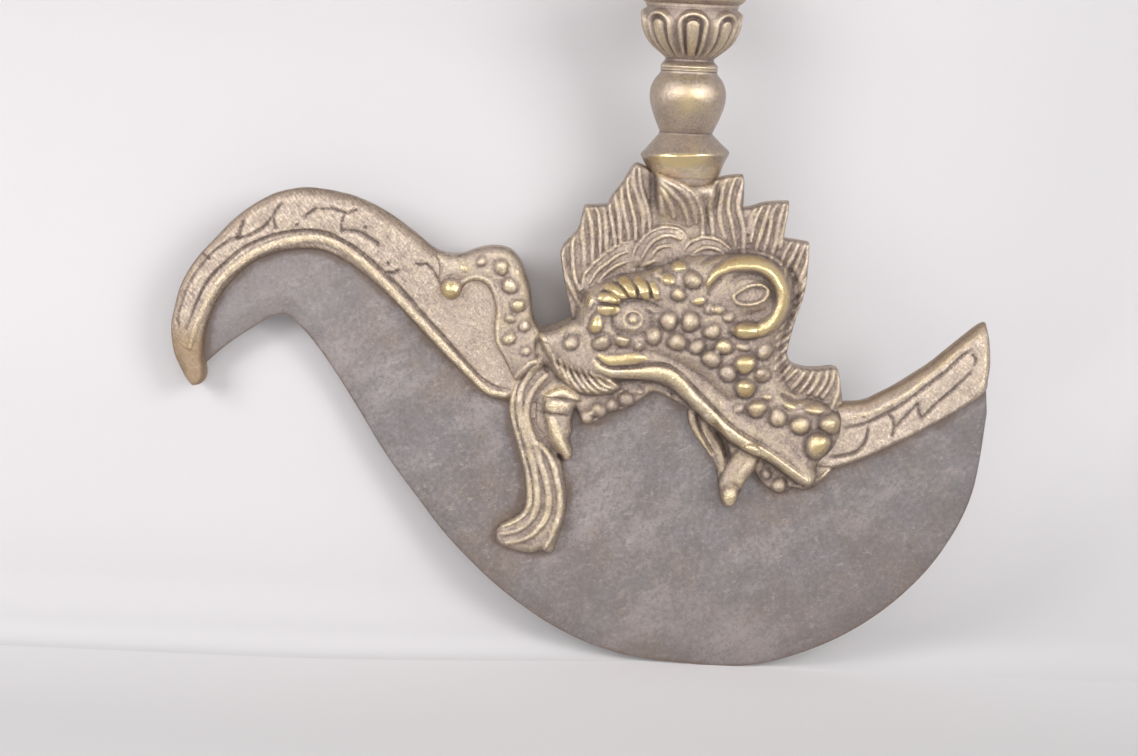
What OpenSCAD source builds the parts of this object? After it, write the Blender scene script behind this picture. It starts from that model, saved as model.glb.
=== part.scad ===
// Kartika chopper: an iron crescent blade with brass rails, two makara castings and a lotus handle.
// The blade stands in the XZ plane and its front face looks along -Y. The handle's axis is Z.
// Zero is on that axis, at the foot of the handle. Lengths are millimetres.

/* [Whole chopper] */
// Width across both rails, from the hooked end to the right tip
span = 170.5; // [158:0.5:183]
// Room between pieces that slide together
fit = 0.05; // [0.03:0.01:0.08]

/* [Blade] */
// Thickness of the blade and of its tang
blade_t = 2.4; // [2:0.1:3]
// Thickness left at the cutting edge
edge_t = 0.8; // [0.5:0.1:1.2]
// Width of the ground bevel along the edge
edge_w = 4; // [2:0.5:6]
// Width of the tang
tang_w = 6; // [5:0.5:7]

/* [Rails] */
// Half thickness of a rail at its flat face
rail_face = 3.6; // [3.2:0.1:4.2]
// Width of the dark bevel along a rail's outer edge
rail_bevel = 1.2; // [0.8:0.1:1.6]
// Width of the raised lip along a rail's inner edge
lip_w = 3; // [2.4:0.1:3.6]
// Height of that lip above the face
lip_h = 0.7; // [0.3:0.1:1.1]
// Depth of the groove beside the lip
groove_h = 0.5; // [0.2:0.1:0.8]
// Diameter of the pins through the rails
rail_pin_d = 1.6; // [1.2:0.1:2]

/* [Makara castings] */
// Half thickness of the crest's plate
crest_face = 3.6; // [3.2:0.1:4.2]
// Half thickness over the skull
skull_face = 8.5; // [7.5:0.1:9.5]
// Half thickness over the trunk and the tongue
trunk_face = 5.6; // [5:0.1:6.2]
// Diameter of the pearls on the skull
pearl_d = 4; // [3.4:0.1:4.4]
// Diameter of the horn where it curls
horn_d = 2.9; // [2.4:0.1:3.4]
// Width of the raised lines, such as the lips and the whorls
line_d = 2.4; // [2:0.1:2.8]
// Side of the square pegs through the two castings
head_peg = 3; // [2:0.1:3.6]
// Metal left over the end of a peg
head_peg_cover = 2; // [1.5:0.1:2.5]

/* [Handle] */
// Height of the foot ring
foot_h = 1.6; // [1.2:0.1:2]
// Diameter of the foot ring
foot_d = 15.6; // [14:0.1:16.5]
// Height of the neck block
block_h = 9; // [8:0.1:10]
// Diameter of the neck block at its ridge
block_d = 18.3; // [17:0.1:20]
// Share of the block's height that lies below the ridge
block_ridge = 0.5; // [0.4:0.01:0.6]
// Diameter of the neck between block and bead
neck_d = 11.4; // [10.6:0.1:12.4]
// Height of the bead
bead_h = 12.6; // [11:0.1:14]
// Diameter of the bead
bead_d = 15.7; // [14.6:0.1:17]
// Height of the ring above the bead
ring_h = 2.4; // [1.8:0.1:3]
// Diameter of the ring above the bead
ring_d = 11.9; // [11:0.1:13]
// Height of the lotus bud
bud_h = 10.6; // [9:0.1:12]
// Diameter of the lotus bud at its widest
bud_d = 20.8; // [19:0.1:23]
// Number of petals on the bud
petals = 8; // [6:1:10]
// Height of the flared band on the bud
band_h = 3.6; // [3:0.1:4.5]
// Diameter of the flared band at its top
band_d = 22; // [20:0.1:24]

/* [Half vajra] */
// Height of the hub that carries the prongs
hub_h = 8; // [7:0.1:9]
// Diameter of the hub
hub_d = 13; // [12:0.1:14]
// Height of the side prongs above the hub's foot
prong_h = 40; // [36:1:44]
// Reach of a side prong from the axis, at its widest
prong_reach = 14; // [12.5:0.5:16]
// Thickness of a side prong at its widest
prong_d = 5; // [4:0.1:5.6]
// Height of the centre prong above the hub
spike_h = 34; // [30:1:38]
// Diameter of the centre prong at its swelling
spike_d = 6; // [5:0.1:7]
// Diameter of the cross pin through hub and tang
hub_pin_d = 2; // [1.6:0.1:2.4]

/* [Hidden] */
$fn = 48;

iron = "#6d6668";
brass = "#9c8a68";
brass_dark = "#7f7058";

// One square of the grid that the blade and its ornament are drawn on
span_squares = 341;
sq = span / span_squares;

// Places of the handle's pieces, counted up from the foot
foot_z = 0;
block_z = foot_z + foot_h;
bead_z = block_z + block_h;
ring_z = bead_z + bead_h;
bud_z = ring_z + ring_h;
band_z = bud_z + bud_h;
hub_z = band_z + band_h;
spike_z = hub_z + hub_h;
hub_roof = hub_h * 0.3;
tang_top = spike_z - hub_roof;
peg_half = trunk_face - head_peg_cover;
hub_pin_z = hub_z + hub_h / 2;
slot_w = tang_w + 2 * fit;
slot_t = blade_t + 2 * fit;

// Outlines in squares of the drawing grid, x to the right and z up, from the handle's foot.
// The blade runs from the hooked tip to the right tip, its back first and its edge second.
blade_back = [
    [-200, -84], [-202, -72], [-199, -56], [-191, -41], [-179, -29], [-166, -22], [-154, -20],
    [-140, -22], [-126, -31], [-113, -43], [-102, -56], [-92, -67], [-80, -77], [-62, -82],
    [-40, -78], [-20, -66], [-6, -56], [6, -56], [24, -64], [44, -82], [62, -99], [82, -98],
    [104, -84], [128, -66]
];
blade_edge = [
    [-196, -84], [-191, -79], [-184, -73], [-174, -66], [-167, -62], [-161, -62], [-155, -67],
    [-148, -75], [-140, -86], [-130, -101], [-119, -118], [-105, -136], [-90, -154], [-68, -174],
    [-43, -190], [-18, -199], [9, -202], [36, -202], [58, -196], [80, -185], [100, -169],
    [116, -149], [127, -124], [131, -90]
];
tang_foot = -70;

// Each rail's outer edge and its inner edge, which lies on the blade
left_outer = [
    [-201, -93], [-207, -84], [-210, -70], [-207, -53], [-197, -36], [-183, -21], [-171, -12],
    [-154, -8], [-138, -9], [-123, -16], [-109, -25], [-98, -33], [-86, -40], [-77, -54],
    [-71, -70], [-66, -84]
];
left_inner = [
    [-195, -89], [-196, -81], [-197, -71], [-194, -58], [-186, -47], [-176, -39], [-166, -35],
    [-152, -32], [-141, -35], [-130, -41], [-119, -51], [-109, -63], [-99, -75], [-89, -85],
    [-79, -92], [-68, -91]
];
right_outer = [
    [56, -92], [62, -88], [71, -87], [79, -87], [87, -84], [95, -78], [106, -69], [118, -60],
    [128, -52]
];
right_inner = [
    [57, -112], [62, -114], [70, -114], [82, -110], [94, -105], [106, -97], [116, -90],
    [124, -84], [131, -79]
];
rail_pin_spots = [[-168, -29], [-142, -29], [-113, -50], [82, -103], [108, -89]];
head_peg_spots = [[-60, -96], [-24, -84], [28, -84]];

// The crest's plate, tip after tip, and its feathers as [root, tip]
crest = [
    [-42, -66], [-46, -46], [-49, -29], [-43, -20], [-41, -10], [-31, -9], [-21, 8], [-14, 8],
    [-12, 5], [-2, 0], [12, -1], [24, 5], [25, -9], [44, -5], [43, -21], [53, -22], [51, -44],
    [47, -70], [54, -74], [68, -73], [71, -88], [40, -96], [0, -66]
];
feathers = [
    [[-39, -52], [-47, -32]], [[-35, -46], [-44, -24]], [[-30, -34], [-39, -12]],
    [[-24, -28], [-31, -10]], [[-18, -26], [-20, 5]], [[-12, -24], [-14, 4]],
    [[14, -22], [16, 0]], [[20, -24], [23, 2]],
    [[26, -28], [34, -8]], [[32, -30], [42, -7]], [[40, -34], [48, -23]], [[44, -42], [52, -25]],
    [[42, -52], [51, -40]], [[40, -62], [49, -53]], [[40, -74], [47, -66]],
    [[50, -84], [58, -75]], [[56, -86], [66, -75]]
];

// Masses as [x, z, radius, height], blended from one to the next. The front feather stands
// against the handle's foot.
front_feather = [[0, -14, 9, 10], [-4, -7, 6.5, 14], [-7, -1, 4.5, 17.6], [-10, 3, 2.2, 17.6]];
skull = [
    [-34, -50, 9, 10], [-30, -58, 11, 12], [-22, -54, 15, 15], [-4, -50, 18, 16], [14, -50, 18, 17],
    [30, -46, 14, 16], [30, -60, 12, 15]
];
forehead = [[-13, -37, 8, 13], [-2, -35, 8, 13], [8, -39, 8, 14]];
snout = [[-32, -62, 10, 14], [-18, -66, 9, 16], [0, -66, 11, 16], [16, -72, 12, 16]];
jaw = [[16, -72, 14, 16], [31, -82, 14, 15], [46, -100, 11, 13], [56, -110, 8, 11]];
cheek = [[40, -86, 8, 12], [54, -92, 8, 11], [64, -98, 6, 10], [58, -108, 8, 11]];
chin = [[-36, -91, 6, 9], [-18, -85, 7, 10], [2, -78, 6, 11], [18, -92, 5, 10]];
trunk = [
    [-93, -39, 6, 9.5], [-84, -36, 6, 11], [-76, -36, 6, 11], [-70, -44, 7, 11],
    [-67, -56, 7, 11], [-64, -66, 8, 11], [-56, -74, 10, 11], [-44, -70, 10, 11.5]
];
tongue = [
    [-56, -80, 8, 11], [-61, -90, 7, 11], [-62, -101, 6.5, 10], [-58, -113, 7, 10],
    [-52, -126, 8.5, 10], [-52, -138, 8.5, 10], [-56, -148, 7.5, 9], [-66, -150, 5, 8.5]
];
tongue_heel = [[-54, -144, 8, 9], [-50, -150, 6, 8]];
fang = [[-47, -88, 6, 10], [-48, -97, 5, 10], [-47, -107, 5, 9], [-42, -115, 3, 8]];
jaw_fang = [[32, -102, 5, 10], [27, -120, 4, 9], [25, -129, 3.5, 8.5]];

// Lines of raised metal as points, all on top of the masses
horn = [[11, -40], [20, -31], [30, -29], [39, -36], [42, -45], [39, -53], [32, -57], [24, -57]];
upper_lip = [[-30, -71], [-20, -72], [-8, -70]];
lower_lip = [[-30, -75], [-18, -77], [-4, -77], [8, -87], [20, -98], [32, -106], [44, -112], [54, -119]];
brow = [[-30, -52], [-27, -45], [-20, -42], [-12, -44]];
trunk_lip = [[-88, -43], [-82, -42], [-76, -48], [-74, -60], [-70, -71], [-66, -80]];
fringe = [[-53, -66], [-47, -75], [-38, -81], [-24, -83]];
tongue_ridges = [
    [[-60, -84], [-65, -96], [-62, -110], [-56, -124], [-56, -138], [-67, -147]],
    [[-54, -84], [-59, -97], [-56, -112], [-49, -124], [-48, -138], [-58, -151]]
];
strands = [[[8, -90], [14, -103], [21, -114]], [[14, -94], [18, -106], [22, -117]]];
whorls = [
    [[-40, -44], [-34, -31], [-21, -24]], [[-20, -33], [-14, -20], [1, -18]],
    [[3, -27], [12, -21], [20, -26]]
];

// Pearls as [x, z], by where they sit
skull_pearls = [
    [-10, -61], [-4, -54], [5, -55], [0, -63], [8, -64], [-11, -34], [-5, -37], [-2, -32],
    [5, -37], [-1, -44], [7, -46], [16, -49], [14, -58], [19, -64], [14, -69], [27, -64],
    [35, -66], [28, -72], [21, -74], [35, -76], [28, -81], [33, -90], [39, -85]
];
jaw_pearls = [[43, -93], [47, -88], [53, -95], [58, -89], [64, -95], [60, -104]];
nose_pearls = [[-36, -48], [-35, -59], [-30, -65], [-23, -64], [-44, -65]];
trunk_pearls = [
    [-81, -34], [-73, -36], [-69, -44], [-66, -52], [-69, -57], [-62, -60], [-69, -66], [-61, -71]
];
tooth_pearls = [[-36, -94], [-30, -93], [-24, -91], [-18, -89]];
eye = [-19, -54];
trunk_tip = [-94, -46];
horn_leaf = [[23, -43], [34, -41]];

// Points of a smooth line through p, with n steps from each point to the next
function smooth(p, n) = concat(
    [for (i = [0:len(p) - 2]) for (k = [0:n - 1]) blend(p, i, k / n)], [p[len(p) - 1]]
);
function blend(p, i, t) = let (
    a = p[max(i - 1, 0)], b = p[i], c = p[i + 1], d = p[min(i + 2, len(p) - 1)]
) (2 * b + (c - a) * t + (2 * a - 5 * b + 4 * c - d) * t * t + (3 * b - a - 3 * c + d) * t * t * t) / 2;
function backwards(p) = [for (i = [len(p) - 1:-1:0]) p[i]];
function outline(a, b, n) = concat(smooth(a, n), backwards(smooth(b, n))) * sq;

// A solid between line a and line b, in millimetres. Each row of section is
// [0 or 1 for which line it is measured from, distance from that line, half thickness].
module strip(a, b, section) {
    rows = len(section);
    last = len(a) - 1;
    from_a = max([for (s = section) if (s[0] == 0) s[1]]);
    from_b = max([for (s = section) if (s[0] == 1) s[1]]);
    need = from_a + from_b;
    front = [for (i = [0:last]) for (s = section) strip_point(a[i], b[i], s, -1, need)];
    back = [for (i = [0:last]) for (s = section) strip_point(a[i], b[i], s, 1, need)];
    count = len(front);
    sides = [
        for (i = [0:last - 1]) for (k = [0:rows - 2])
            let (p = i * rows + k, q = p + rows)
                each [[p, q + 1, p + 1], [p, q, q + 1], [count + p, count + p + 1, count + q + 1],
                    [count + p, count + q + 1, count + q]]
    ];
    rims = [
        for (i = [0:last - 1]) for (k = [0, rows - 1])
            let (p = i * rows + k, q = p + rows, turn = k == 0)
                each turn ? [[p, count + q, q], [p, count + p, count + q]]
                    : [[p, q, count + q], [p, count + q, count + p]]
    ];
    ends = [
        for (i = [0, last]) for (k = [0:rows - 2])
            let (p = i * rows + k, q = p + 1, turn = i == 0)
                each turn ? [[p, count + q, count + p], [p, q, count + q]]
                    : [[p, count + p, count + q], [p, count + q, q]]
    ];
    polyhedron(points = concat(front, back), faces = concat(sides, rims, ends));
}
// Where the strip is narrower than the section needs, the section is drawn in
function strip_point(a, b, s, side, need) = let (
    share = s[1] / max(norm(b - a), need * 1.1),
    v = s[0] == 0 ? share : 1 - share,
    p = a + (b - a) * v
) [p[0], side * s[2], p[1]];

// Stands a drawing up in the blade's plane, with its height towards the front
module upright() {
    rotate([90, 0, 0]) children();
}

module slab(points, height) {
    linear_extrude(height) polygon(points);
}

// The blade's own outline with room round it, and its tang
module blade_room() {
    room = blade_t / 2 + fit;
    upright() translate([0, 0, -room]) {
        linear_extrude(2 * room) offset(delta = fit) polygon(outline(blade_back, blade_edge, 2));
        translate([-slot_w / 2, tang_foot * sq, 0])
            cube([slot_w, tang_top - tang_foot * sq + fit, 2 * room]);
    }
}

module pins(spots, diameter, half) {
    for (s = spots) {
        upright() translate([s[0] * sq, s[1] * sq, 0]) cylinder(h = 2 * half, d = diameter, center = true);
    }
}

module pegs(side, half) {
    for (s = head_peg_spots) {
        translate([s[0] * sq, 0, s[1] * sq]) cube([side, 2 * half, side], center = true);
    }
}

// All that lies behind the blade's middle plane
module back_half() {
    reach = 240 * sq;
    translate([-reach, 0, -reach]) cube([2 * reach, reach, 2 * reach]);
}

module blade() {
    steps = 3;
    half = blade_t / 2;
    color(iron) difference() {
        union() {
            strip(smooth(blade_back, steps) * sq, smooth(blade_edge, steps) * sq,
                [[0, 0, half], [1, edge_w, half], [1, 0, edge_t / 2]]);
            translate([-tang_w / 2, -half, tang_foot * sq])
                cube([tang_w, blade_t, tang_top - tang_foot * sq]);
        }
        pins(rail_pin_spots, rail_pin_d + 2 * fit, blade_t);
        pegs(head_peg + 2 * fit, blade_t);
        hub_pin_bore();
    }
}

rail_section = [
    [0, 0, rail_face - rail_bevel], [0, rail_bevel, rail_face], [1, lip_w + groove_h, rail_face],
    [1, lip_w, rail_face - groove_h], [1, lip_w * 0.75, rail_face + lip_h],
    [1, lip_w * 0.3, rail_face + lip_h], [1, 0, rail_face - rail_bevel]
];

module rail(outer, inner) {
    steps = 3;
    difference() {
        strip(smooth(outer, steps) * sq, smooth(inner, steps) * sq, rail_section);
        blade_room();
        pins(rail_pin_spots, rail_pin_d + 2 * fit, 2 * rail_face);
    }
}

module rail_left() {
    color(brass) rail(left_outer, left_inner);
}

module rail_right() {
    color(brass) rail(right_outer, right_inner);
}

module rail_pins() {
    color(brass_dark) pins(rail_pin_spots, rail_pin_d, rail_face - fit);
}

// Room for a rail's end under a casting
module rail_room(outer, inner) {
    high = rail_face + lip_h + fit;
    upright() translate([0, 0, -high]) linear_extrude(2 * high) offset(delta = fit)
        polygon(outline(outer, inner, 2));
}

module mass(p) {
    for (i = [0:len(p) - 2]) {
        hull() {
            mound(p[i]);
            mound(p[i + 1]);
        }
    }
}

module mound(q) {
    translate([q[0] * sq, q[1] * sq, 0])
        cylinder(h = q[3] * sq, r1 = q[2] * sq, r2 = q[2] * sq * 0.6, $fn = 16);
}

// A low bank of metal on the blade under a raised line. Radius and height are in squares.
module bank(p, radius, height) {
    mass([for (q = p) [q[0], q[1], radius, height]]);
}

// A rounded line of metal at a height, tapering from one diameter to another
module ridge(p, height, d1, d2, sides = 8) {
    last = len(p) - 1;
    for (i = [0:last - 1]) {
        hull() {
            knob(p[i], height, d1 + (d2 - d1) * i / last, sides);
            knob(p[i + 1], height, d1 + (d2 - d1) * (i + 1) / last, sides);
        }
    }
}

module knob(q, height, diameter, sides = 8) {
    translate([q[0] * sq, q[1] * sq, height]) sphere(d = diameter, $fn = sides);
}

module pearls(spots, height, diameter) {
    for (s = spots) {
        knob(s, height, diameter);
    }
}

module crest_relief() {
    slab(crest * sq, crest_face);
    mass(front_feather);
    for (f = feathers) {
        ridge(f, crest_face, line_d * 0.9, line_d * 0.5, 6);
    }
    for (w = whorls) {
        ridge(w, crest_face + line_d * 0.3, line_d, line_d * 0.7, 6);
    }
}

module head_relief() {
    mass(skull);
    mass(forehead);
    mass(snout);
    mass(jaw);
    mass(cheek);
    mass(chin);
    ridge(horn, skull_face, horn_d, horn_d);
    knob(horn[len(horn) - 1], skull_face, horn_d * 1.3);
    ridge(horn_leaf, skull_face, line_d, line_d * 0.8);
    ridge(upper_lip, skull_face - line_d * 0.25, line_d * 1.1, line_d * 0.8);
    ridge(lower_lip, skull_face - line_d * 0.65, line_d, line_d);
    ridge(brow, skull_face - line_d * 0.25, line_d * 1.2, line_d * 1.2);
    knob(eye, skull_face - pearl_d * 0.2, pearl_d);
    pearls(skull_pearls, skull_face - pearl_d * 0.35, pearl_d);
    pearls(nose_pearls, skull_face - pearl_d * 0.45, pearl_d);
    pearls(jaw_pearls, skull_face - pearl_d * 0.7, pearl_d * 1.1);
}

module trunk_relief() {
    mass(trunk);
    mass(tongue);
    mass(tongue_heel);
    mass(fang);
    bank(trunk_lip, 4, 9.5);
    ridge(trunk_lip, trunk_face - line_d * 0.35, line_d * 0.75, line_d * 0.75);
    ridge(fringe, trunk_face, line_d * 1.5, line_d * 1.3);
    knob(trunk_tip, trunk_face - pearl_d * 0.4, pearl_d * 1.1);
    pearls(trunk_pearls, trunk_face - pearl_d * 0.2, pearl_d * 0.7);
    pearls(tooth_pearls, trunk_face - pearl_d * 0.6, pearl_d * 0.75);
    for (r = tongue_ridges) {
        ridge(r, trunk_face - line_d * 0.35, line_d * 0.75, line_d * 0.75, 6);
    }
}

module jaw_relief() {
    mass(jaw_fang);
    for (s = strands) {
        bank(s, 3.5, 6.5);
        ridge(s, trunk_face - line_d, line_d, line_d * 0.75, 6);
    }
}

// The front casting. The back one is its mirror image.
module casting() {
    difference() {
        upright() {
            crest_relief();
            head_relief();
            trunk_relief();
            jaw_relief();
        }
        back_half();
        blade_room();
        rail_room(left_outer, left_inner);
        rail_room(right_outer, right_inner);
        pegs(head_peg + 2 * fit, peg_half + fit);
        foot_room();
    }
}

module makara_front() {
    color(brass) casting();
}

module makara_back() {
    color(brass) mirror([0, 1, 0]) casting();
}

module head_pegs() {
    color(brass_dark) pegs(head_peg, peg_half);
}

// A turned piece with the tang's slot through it
module turned(profile) {
    difference() {
        rotate_extrude() polygon(profile);
        tang_slot();
    }
}

module tang_slot() {
    translate([-slot_w / 2, -slot_t / 2, -foot_h]) cube([slot_w, slot_t, tang_top + foot_h + fit]);
}

// Half of a swelling from z0 to z1: radius low at the foot, wide in the middle, high at the top
function swelling(z0, z1, low, wide, high, steps = 16) = [
    for (k = [0:steps])
        let (t = k / steps, side = t < 0.5 ? low : high)
            [side + (wide - side) * sqrt(max(0, 1 - (2 * t - 1) * (2 * t - 1))), z0 + (z1 - z0) * t]
];

foot_rim = foot_d / 2 - foot_h / 2;

module foot_ring() {
    side = swelling(foot_z, block_z, foot_rim, foot_d / 2, foot_rim, 8);
    color(brass) turned(concat([[0, foot_z]], side, [[0, block_z]]));
}

// Room for the foot of the handle between the castings
module foot_room() {
    translate([0, 0, foot_z - fit]) cylinder(h = foot_h + 2 * fit, d = foot_d + 2 * fit);
    translate([0, 0, block_z])
        cylinder(h = block_h * block_ridge, d1 = foot_d + 2 * fit, d2 = block_d + 2 * fit);
}

module neck_block() {
    ridge_z = block_z + block_h * block_ridge;
    land = block_h * 0.055;
    color(brass) turned([
        [0, block_z], [foot_rim, block_z], [block_d / 2, ridge_z - land],
        [block_d / 2, ridge_z + land], [neck_d / 2, bead_z - land], [neck_d / 2, bead_z], [0, bead_z]
    ]);
}

module bead() {
    side = swelling(bead_z, ring_z, neck_d * 0.465, bead_d / 2, ring_d * 0.45);
    color(brass) turned(concat([[0, bead_z]], side, [[0, ring_z]]));
}

ring_rim = ring_d / 2 - ring_h / 3;

module neck_ring() {
    side = swelling(ring_z, bud_z, ring_rim, ring_d / 2, ring_rim, 8);
    color(brass) turned(concat([[0, ring_z]], side, [[0, bud_z]]));
}

module lotus_bud() {
    wide = bud_d / 2;
    side = smooth([
        [ring_rim, bud_z], [ring_rim * 1.1, bud_z + bud_h * 0.14], [wide * 0.84, bud_z + bud_h * 0.5],
        [wide, bud_z + bud_h * 0.82], [wide * 0.95, band_z]
    ], 4);
    notch = PI * bud_d / petals * 0.09;
    color(brass) difference() {
        turned(concat([[0, bud_z]], side, [[0, band_z]]));
        for (i = [0:petals - 1]) {
            rotate([0, 0, (i + 0.5) * 360 / petals]) translate([wide, 0, bud_z + bud_h * 0.45])
                cylinder(h = bud_h, r = notch);
        }
    }
}

module lotus_band() {
    waist = bud_d / 2 * 0.92;
    color(brass_dark) turned([
        [0, band_z], [waist, band_z], [waist, band_z + band_h * 0.2], [band_d / 2, band_z + band_h * 0.55],
        [band_d / 2, band_z + band_h * 0.85], [band_d / 2 * 0.9, hub_z], [0, hub_z]
    ]);
}

// Each side prong is a node of its own. Its square foot sits in a seat in the hub,
// which is this deep and this wide.
prong_count = 4;
prong_seat = hub_d * 0.2;
prong_root = hub_d / 2 - prong_seat / 2;
prong_z = hub_z + hub_h / 2;
spike_foot = hub_d * 0.3;

module vajra_hub() {
    color(brass) difference() {
        turned([
            [0, hub_z], [hub_d * 0.36, hub_z], [hub_d / 2, hub_z + hub_h * 0.2],
            [hub_d / 2, hub_z + hub_h * 0.8], [spike_foot, spike_z], [0, spike_z]
        ]);
        hub_pin_bore();
        for (i = [1:prong_count]) {
            prong_place(i) translate([prong_root, -prong_seat / 2 - fit, prong_z - prong_seat / 2 - fit])
                cube([hub_d, prong_seat + 2 * fit, prong_seat + 2 * fit]);
        }
    }
}

module cross_rod(length, diameter) {
    translate([0, 0, hub_pin_z]) rotate([90, 0, 0]) cylinder(h = length, d = diameter, center = true);
}

module hub_pin_bore() {
    cross_rod(hub_d + band_d, hub_pin_d + 2 * fit);
}

module hub_pin() {
    color(brass_dark) cross_rod(hub_d * 0.96, hub_pin_d);
}

// Turns a prong to its place, between the blade's plane and the cross pin
module prong_place(i) {
    rotate([0, 0, (i - 0.5) * 360 / prong_count]) children();
}

function prong_line() = smooth([
    [hub_d / 2 + prong_seat / 2, hub_h * 0.5], [prong_reach * 0.86, hub_h * 0.8],
    [prong_reach, prong_h * 0.38], [prong_reach * 0.86, prong_h * 0.62],
    [prong_reach * 0.5, prong_h * 0.84], [spike_d * 0.62, prong_h * 0.98]
], 3);

module side_prong(i) {
    line = prong_line();
    last = len(line) - 1;
    color(brass) prong_place(i) translate([0, 0, hub_z]) {
        translate([prong_root + fit, -prong_seat / 2, hub_h / 2 - prong_seat / 2])
            cube([prong_seat, prong_seat, prong_seat]);
        for (k = [0:last - 1]) {
            hull() {
                prong_bead(line[k], k / last);
                prong_bead(line[k + 1], (k + 1) / last);
            }
        }
    }
}

module prong_bead(p, t) {
    translate([p[0], 0, p[1]]) sphere(d = prong_d * (0.5 + 0.5 * sin(180 * min(1, 0.15 + t))), $fn = 10);
}

module centre_prong() {
    half = spike_d / 2;
    color(brass) rotate_extrude() polygon(concat([[0, spike_z]], smooth([
        [spike_foot, spike_z], [half * 0.8, spike_z + spike_h * 0.1],
        [half * 0.6, spike_z + spike_h * 0.35], [half, spike_z + spike_h * 0.62],
        [half * 0.7, spike_z + spike_h * 0.82],
        [half * 0.16, spike_z + spike_h * 0.99]
    ], 4), [[0, spike_z + spike_h]]));
}

blade();
rail_left();
rail_right();
rail_pins();
makara_front();
makara_back();
head_pegs();
foot_ring();
neck_block();
bead();
neck_ring();
lotus_bud();
lotus_band();
vajra_hub();
hub_pin();
side_prong(1);  // side_prong_1
side_prong(2);  // side_prong_2
side_prong(3);  // side_prong_3
side_prong(4);  // side_prong_4
centre_prong();
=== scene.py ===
"""Looks of the kartika chopper: a forged iron blade, cast brass rails and makara castings, and a
lotus handle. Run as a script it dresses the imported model, which stays in place as the frame.

Ornament is drawn on a grid of half-millimetre squares: places are [x, z] in squares from the
handle's foot, while widths, heights and depths are millimetres.
"""

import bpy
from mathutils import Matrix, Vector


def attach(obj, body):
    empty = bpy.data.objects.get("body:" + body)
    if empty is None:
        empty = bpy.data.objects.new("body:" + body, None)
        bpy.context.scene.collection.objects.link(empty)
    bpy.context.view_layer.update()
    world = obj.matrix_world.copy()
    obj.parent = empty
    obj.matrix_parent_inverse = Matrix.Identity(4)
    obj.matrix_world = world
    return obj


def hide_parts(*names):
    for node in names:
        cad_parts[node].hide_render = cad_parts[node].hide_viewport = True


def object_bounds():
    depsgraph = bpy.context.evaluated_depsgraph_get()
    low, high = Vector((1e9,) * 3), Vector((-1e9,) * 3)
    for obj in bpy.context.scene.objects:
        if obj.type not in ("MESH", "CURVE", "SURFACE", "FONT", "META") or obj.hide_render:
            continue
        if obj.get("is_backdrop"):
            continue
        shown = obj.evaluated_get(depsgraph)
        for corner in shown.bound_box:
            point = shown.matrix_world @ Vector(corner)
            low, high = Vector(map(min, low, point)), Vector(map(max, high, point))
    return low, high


bl_info = {
    "name": "Kartika Chopper",
    "version": (1, 0, 0),
    "blender": (4, 5, 0),
    "location": "3D View > Sidebar > Chopper",
    "description": "Dresses an iron chopper with brass rails, makara castings and a lotus handle",
    "category": "Add Mesh",
}

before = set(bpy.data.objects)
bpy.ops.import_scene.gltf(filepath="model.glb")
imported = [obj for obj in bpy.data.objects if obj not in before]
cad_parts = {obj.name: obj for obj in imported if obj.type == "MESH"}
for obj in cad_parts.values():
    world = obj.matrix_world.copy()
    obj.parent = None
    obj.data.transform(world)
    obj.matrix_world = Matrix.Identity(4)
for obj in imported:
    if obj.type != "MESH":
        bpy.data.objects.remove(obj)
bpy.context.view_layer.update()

import math

import bmesh
import bpy
import numpy as np
import openvdb
from bpy.props import FloatProperty, FloatVectorProperty, PointerProperty
from mathutils import Matrix

BODY = "root"
# A millimetre in metres, and a square of the drawing grid in millimetres
MM = 0.001
SQUARE = 0.5
# How far flat parts of a casting's skin are merged into larger faces
MERGE = 0.06

# The blade, from the hooked tip to the right tip

BLADE_BACK = [
    [-200, -84], [-202, -72], [-199, -56], [-191, -41], [-179, -29], [-166, -22], [-154, -20],
    [-140, -22], [-126, -31], [-113, -43], [-102, -56], [-92, -67], [-80, -77], [-62, -82],
    [-40, -78], [-20, -66], [-6, -56], [6, -56], [24, -64], [44, -82], [62, -99], [82, -98],
    [104, -84], [128, -66],
]
BLADE_EDGE = [
    [-196, -84], [-191, -79], [-184, -73], [-174, -66], [-167, -62], [-161, -62], [-155, -67],
    [-148, -75], [-140, -86], [-130, -101], [-119, -118], [-105, -136], [-90, -154], [-68, -174],
    [-43, -190], [-18, -199], [9, -202], [36, -202], [58, -196], [80, -185], [100, -169],
    [116, -149], [127, -124], [131, -90],
]
# Width of the ground edge, how far in the rows of points near it lie, and the rows after them
EDGE_WIDTH = 4.0
EDGE_ROWS = [0, 0.25, 0.7, 1.4, 2.4, 3.6, 4.2]
BLADE_ROWS = 44
TANG_HALF_WIDTH = 3.0
TANG_THINNER = 0.98
TANG_FOOT = -35.0
TANG_TOP = 45.4

# The rails

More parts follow.
